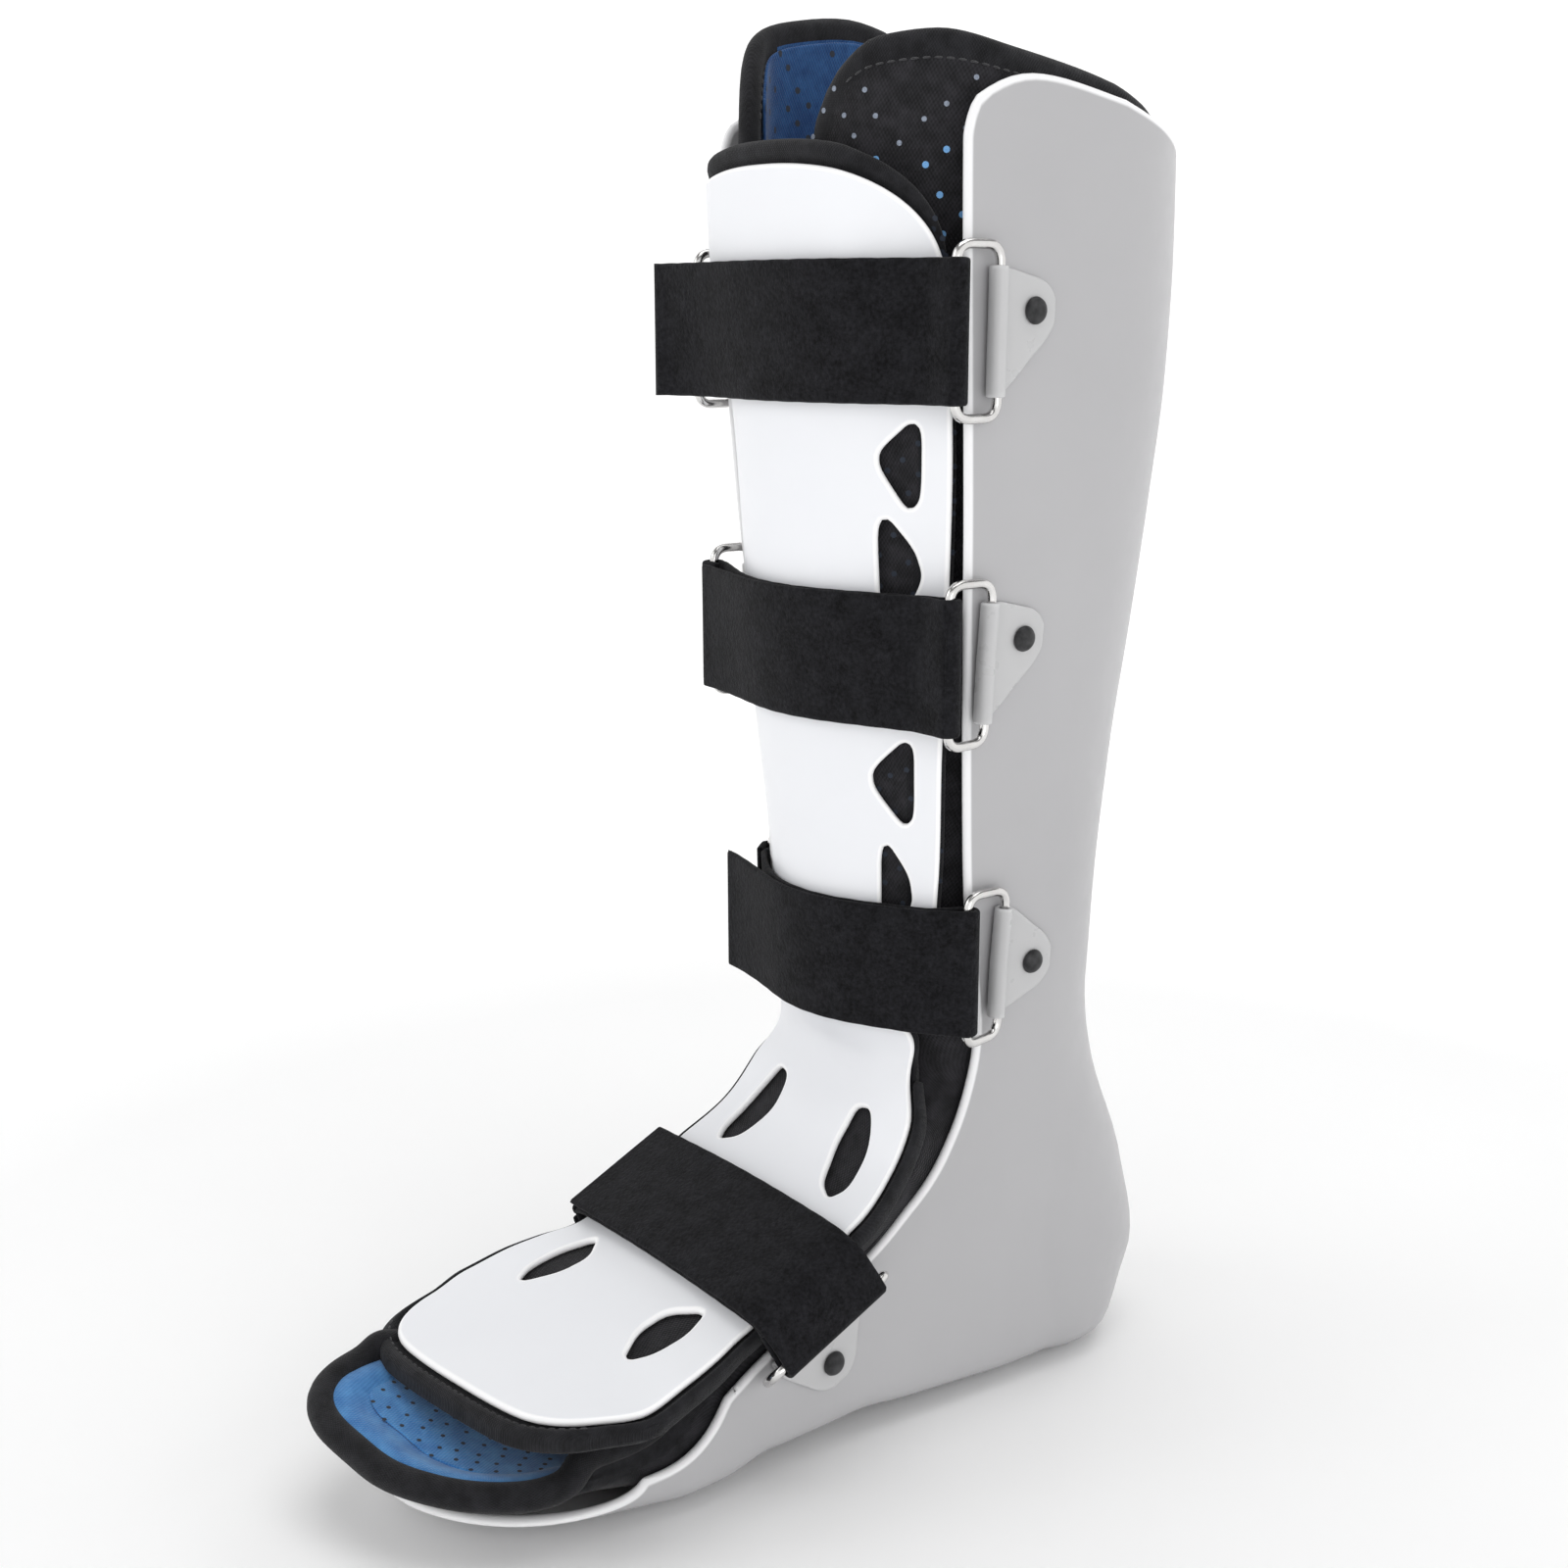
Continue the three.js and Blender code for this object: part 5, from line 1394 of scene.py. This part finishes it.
# Rows of holes; each goes to the nearest grid point, if one is near enough
def perforations(name, grid, other, pitch, radius, keep, material, slot):
    n = facing_sign(grid, other)
    down, across = cumulative(grid, 0), cumulative(grid, 1)
    u = across - across[:, across.shape[1] // 2][:, None]
    v = down - down[down.shape[0] // 2][None]
    flat_p, flat_n = grid.reshape(-1, 3), n.reshape(-1, 3)
    fu, fv = u.ravel(), v.ravel()
    ok = np.array([keep(p) for p in flat_p])
    points, faces = [], []
    for iu in range(int(fu.min() / pitch) - 1, int(fu.max() / pitch) + 2):
        for iv in range(int(fv.min() / pitch * 2) - 2, int(fv.max() / pitch * 2) + 3):
            tu, tv = (iu + 0.5 * (iv % 2)) * pitch, iv * pitch / 2
            d = (fu - tu) ** 2 + (fv - tv) ** 2
            i = int(np.argmin(d))
            if d[i] > HOLE_SNAP or not ok[i]:
                continue
            p, normal = flat_p[i], flat_n[i]
            a = unit(np.cross(normal, [0.31, 0.2, 0.93]))
            b = np.cross(normal, a)
            start = len(points)
            points.append(p + normal * HOLE_LIFT)
            for j in range(HOLE_SIDES):
                t = 2 * math.pi * j / HOLE_SIDES
                points.append(p + normal * (HOLE_LIFT * 0.4) + (a * math.cos(t) + b * math.sin(t)) * radius)
            faces += [(start, start + 1 + j, start + 1 + (j + 1) % HOLE_SIDES) for j in range(HOLE_SIDES)]
    return new_object(name, points, faces, [material], slot=slot)


def stitches(name, path, normals, pitch, length, radius, material, slot):
    path, normals = np.asarray(path), np.asarray(normals)
    run = run_of(path)
    points, faces = [], []
    for start in np.arange(pitch * 0.5, run[-1] - length, pitch):
        at = [start, start + length * 0.25, start + length * 0.75, start + length]
        n = sampled(normals, run, at)
        p = sampled(path, run, at) + n * (STITCH_LIFT * np.array([-0.6, 1, 1, -0.6]))[:, None]
        t = unit(p[-1] - p[0])
        first = len(points)
        for i in range(4):
            u = unit(np.cross(t, n[i]))
            r = radius * (0.55 if i in (0, 3) else 1.0)
            for j in range(STITCH_SIDES):
                a = 2 * math.pi * j / STITCH_SIDES
                points.append(p[i] + r * (u * math.cos(a) + n[i] * math.sin(a)))
        for i in range(3):
            a = first + i * STITCH_SIDES
            b = a + STITCH_SIDES
            for j in range(STITCH_SIDES):
                k = (j + 1) % STITCH_SIDES
                faces.append((a + j, a + k, b + k, b + j))
        faces.append(tuple(range(first + STITCH_SIDES - 1, first - 1, -1)))
        faces.append(tuple(range(b, b + STITCH_SIDES)))
    return new_object(name, points, faces, [material], slot=slot)


outer_n = facing_sign(liner_outer, liner_inner)
inner_n = facing_sign(liner_inner, liner_outer)


def rim_path(grid, n, distance, first, last):
    row = int(np.argmin(np.abs(cumulative(grid, 0)[:, grid.shape[1] // 2] - distance)))
    return grid[row, first:last], n[row, first:last]


# Distance from the edge, then pitch, length, radius, material and slot
SEAM, FLAP_STITCH = 5.5, (3.4, 2.3, 0.30, THREAD_BLACK, "liner")
cols = 2 * LAST_COL + 1
near_seam = rim_path(liner_outer, outer_n, SEAM, LAST_COL + WALL_N - 4, cols - 4)
far_seam = rim_path(liner_inner, inner_n, SEAM, 4, LAST_COL - WALL_N + 4)
stitches("flap_stitch_near", *near_seam, *FLAP_STITCH)
stitches("flap_stitch_far", *far_seam, *FLAP_STITCH)


def on_flap(p):
    return p[0] > 0 and 330 < p[2] < 424 - 0.10 * max(0, -p[1] - 40) and p[1] < -22


# The near flap's holes are pale above this height, painted glints, and blue below it
GLINT_FROM = 404
perforations("flap_holes", liner_outer, liner_inner, 13.0, 1.0,
             lambda p: on_flap(p) and p[2] < GLINT_FROM, HOLE_BLUE, "lining")
perforations("flap_holes_upper", liner_outer, liner_inner, 13.0, 0.8,
             lambda p: on_flap(p) and p[2] >= GLINT_FROM, HOLE_GLINT, "lining")
# The cuff, toe and tongue holes are dark discs, painted shade inside the holes
perforations("cuff_holes", cuff_inner, cuff_outer, 11.0, 1.1,
             lambda p: CUFF_SHADED_FROM < p[2] < 440, HOLE_SHADE, "lining")
perforations("toe_holes", toe_inner, toe_outer, 8.5, 0.75,
             lambda p: p[1] < TOE_BLUE, HOLE_SHADE, "lining")
perforations("tongue_holes", shin_front, shin_front + (0, 9, 0), 10.0, 0.9,
             lambda p: p[2] < 386, HOLE_SHADE, "liner")

toe_n = facing_sign(toe_front, toe_front - (0, 0, 1))
back_run = cumulative(toe_front, 0)
back_run = back_run[-1:] - back_run
path, path_n = [], []
for j in range(8, toe_front.shape[1] - 8):
    i = int(np.argmin(np.abs(back_run[:, j] - 4.6)))
    path.append(toe_front[i, j])
    path_n.append(toe_n[i, j])
stitches("toe_stitch", path, path_n, 3.2, 2.2, 0.28, THREAD_BLACK, "liner")


# Studio: a round pale floor that curves up into a lit wall
FLOOR_R, CURVE_R, FLOOR_Y = 1.9, 1.2, -0.08


def stage_floor():
    rings = [(0, 0)] + [(r, 0) for r in np.linspace(0.25, FLOOR_R, 12)]
    rings += [(FLOOR_R + CURVE_R * math.sin(a), CURVE_R * (1 - math.cos(a)))
              for a in np.linspace(0.08, math.pi / 2, 20)]
    rings += [(FLOOR_R + CURVE_R, CURVE_R + h) for h in (0.4, 0.9, 1.4)]
    points, faces, n = [(0, FLOOR_Y, 0)], [], 96
    turns = [2 * math.pi * j / n for j in range(n)]
    for r, z in rings[1:]:
        points += [(r * math.cos(a), FLOOR_Y + r * math.sin(a), z) for a in turns]
    for j in range(n):
        k = (j + 1) % n
        faces.append((0, 1 + j, 1 + k))
        for i in range(len(rings) - 2):
            a = 1 + i * n
            faces.append((a + j, a + n + j, a + n + k, a + k))
    mesh = bpy.data.meshes.new("floor")
    mesh.from_pydata(points, [], faces)
    mesh.polygons.foreach_set("use_smooth", np.ones(len(faces), dtype=bool))
    s = Shader("floor_pale")
    reach = s.node("ShaderNodeVectorMath", {0: s.coords.outputs["Object"]}, operation="LENGTH")
    away = reach.outputs["Value"]
    pale = s.blend(s.spread(s.noise(3.0), 0, 1), rgb(0.94, 0.94, 0.94), rgb(0.96, 0.96, 0.96))
    colour = s.blend(s.spread(away, 0.0, 1.0, 0.6, 1.6), pale, rgb(0.40, 0.40, 0.40))
    mesh.materials.append(s.set(Base_Color=colour, Roughness=0.75, Emission_Color=rgb(1, 1, 1),
                                Emission_Strength=s.spread(away, 0.0, 0.77, 0.40, 1.5)))
    s.material.cycles.emission_sampling = "NONE"
    piece = bpy.data.objects.new("floor", mesh)
    bpy.context.scene.collection.objects.link(piece)


def aim(thing, target):
    thing.rotation_euler = (Vector(target) - thing.location).to_track_quat("-Z", "Y").to_euler()


def area_light(name, place_at, target, size, power):
    data = bpy.data.lights.new(name, "AREA")
    data.shape, data.size, data.energy = "SQUARE", size, power
    lamp = bpy.data.objects.new(name, data)
    lamp.location = place_at
    bpy.context.scene.collection.objects.link(lamp)
    aim(lamp, target)


stage_floor()
area_light("key", (-0.75, -1.35, 1.25), (0, -0.06, 0.2), 0.9, 3.4)
area_light("top", (0.1, 0.1, 1.9), (0, -0.05, 0.1), 1.6, 15.5)
area_light("side", (1.3, -0.5, 0.30), (0, -0.08, 0.08), 0.7, 2.3)
area_light("back", (-0.6, 1.4, 1.1), (0, -0.05, 0.2), 1.0, 1.8)
world = bpy.data.worlds.new("studio")
world.use_nodes = True
background = world.node_tree.nodes["Background"].inputs
background["Color"].default_value = rgb(1, 1, 1)
background["Strength"].default_value = 0.26
bpy.context.scene.world = world
bpy.context.scene.view_settings.view_transform = "Standard"

camera_data = bpy.data.cameras.new("camera")
camera_data.sensor_width = 36.0
camera_data.lens = 2133 / 1600 * 36.0
camera = bpy.data.objects.new("camera", camera_data)
camera.location = (0.5229, -0.4570, 0.3572)
aim(camera, (-0.040, -0.045, 0.200))
bpy.context.scene.collection.objects.link(camera)
bpy.context.scene.camera = camera
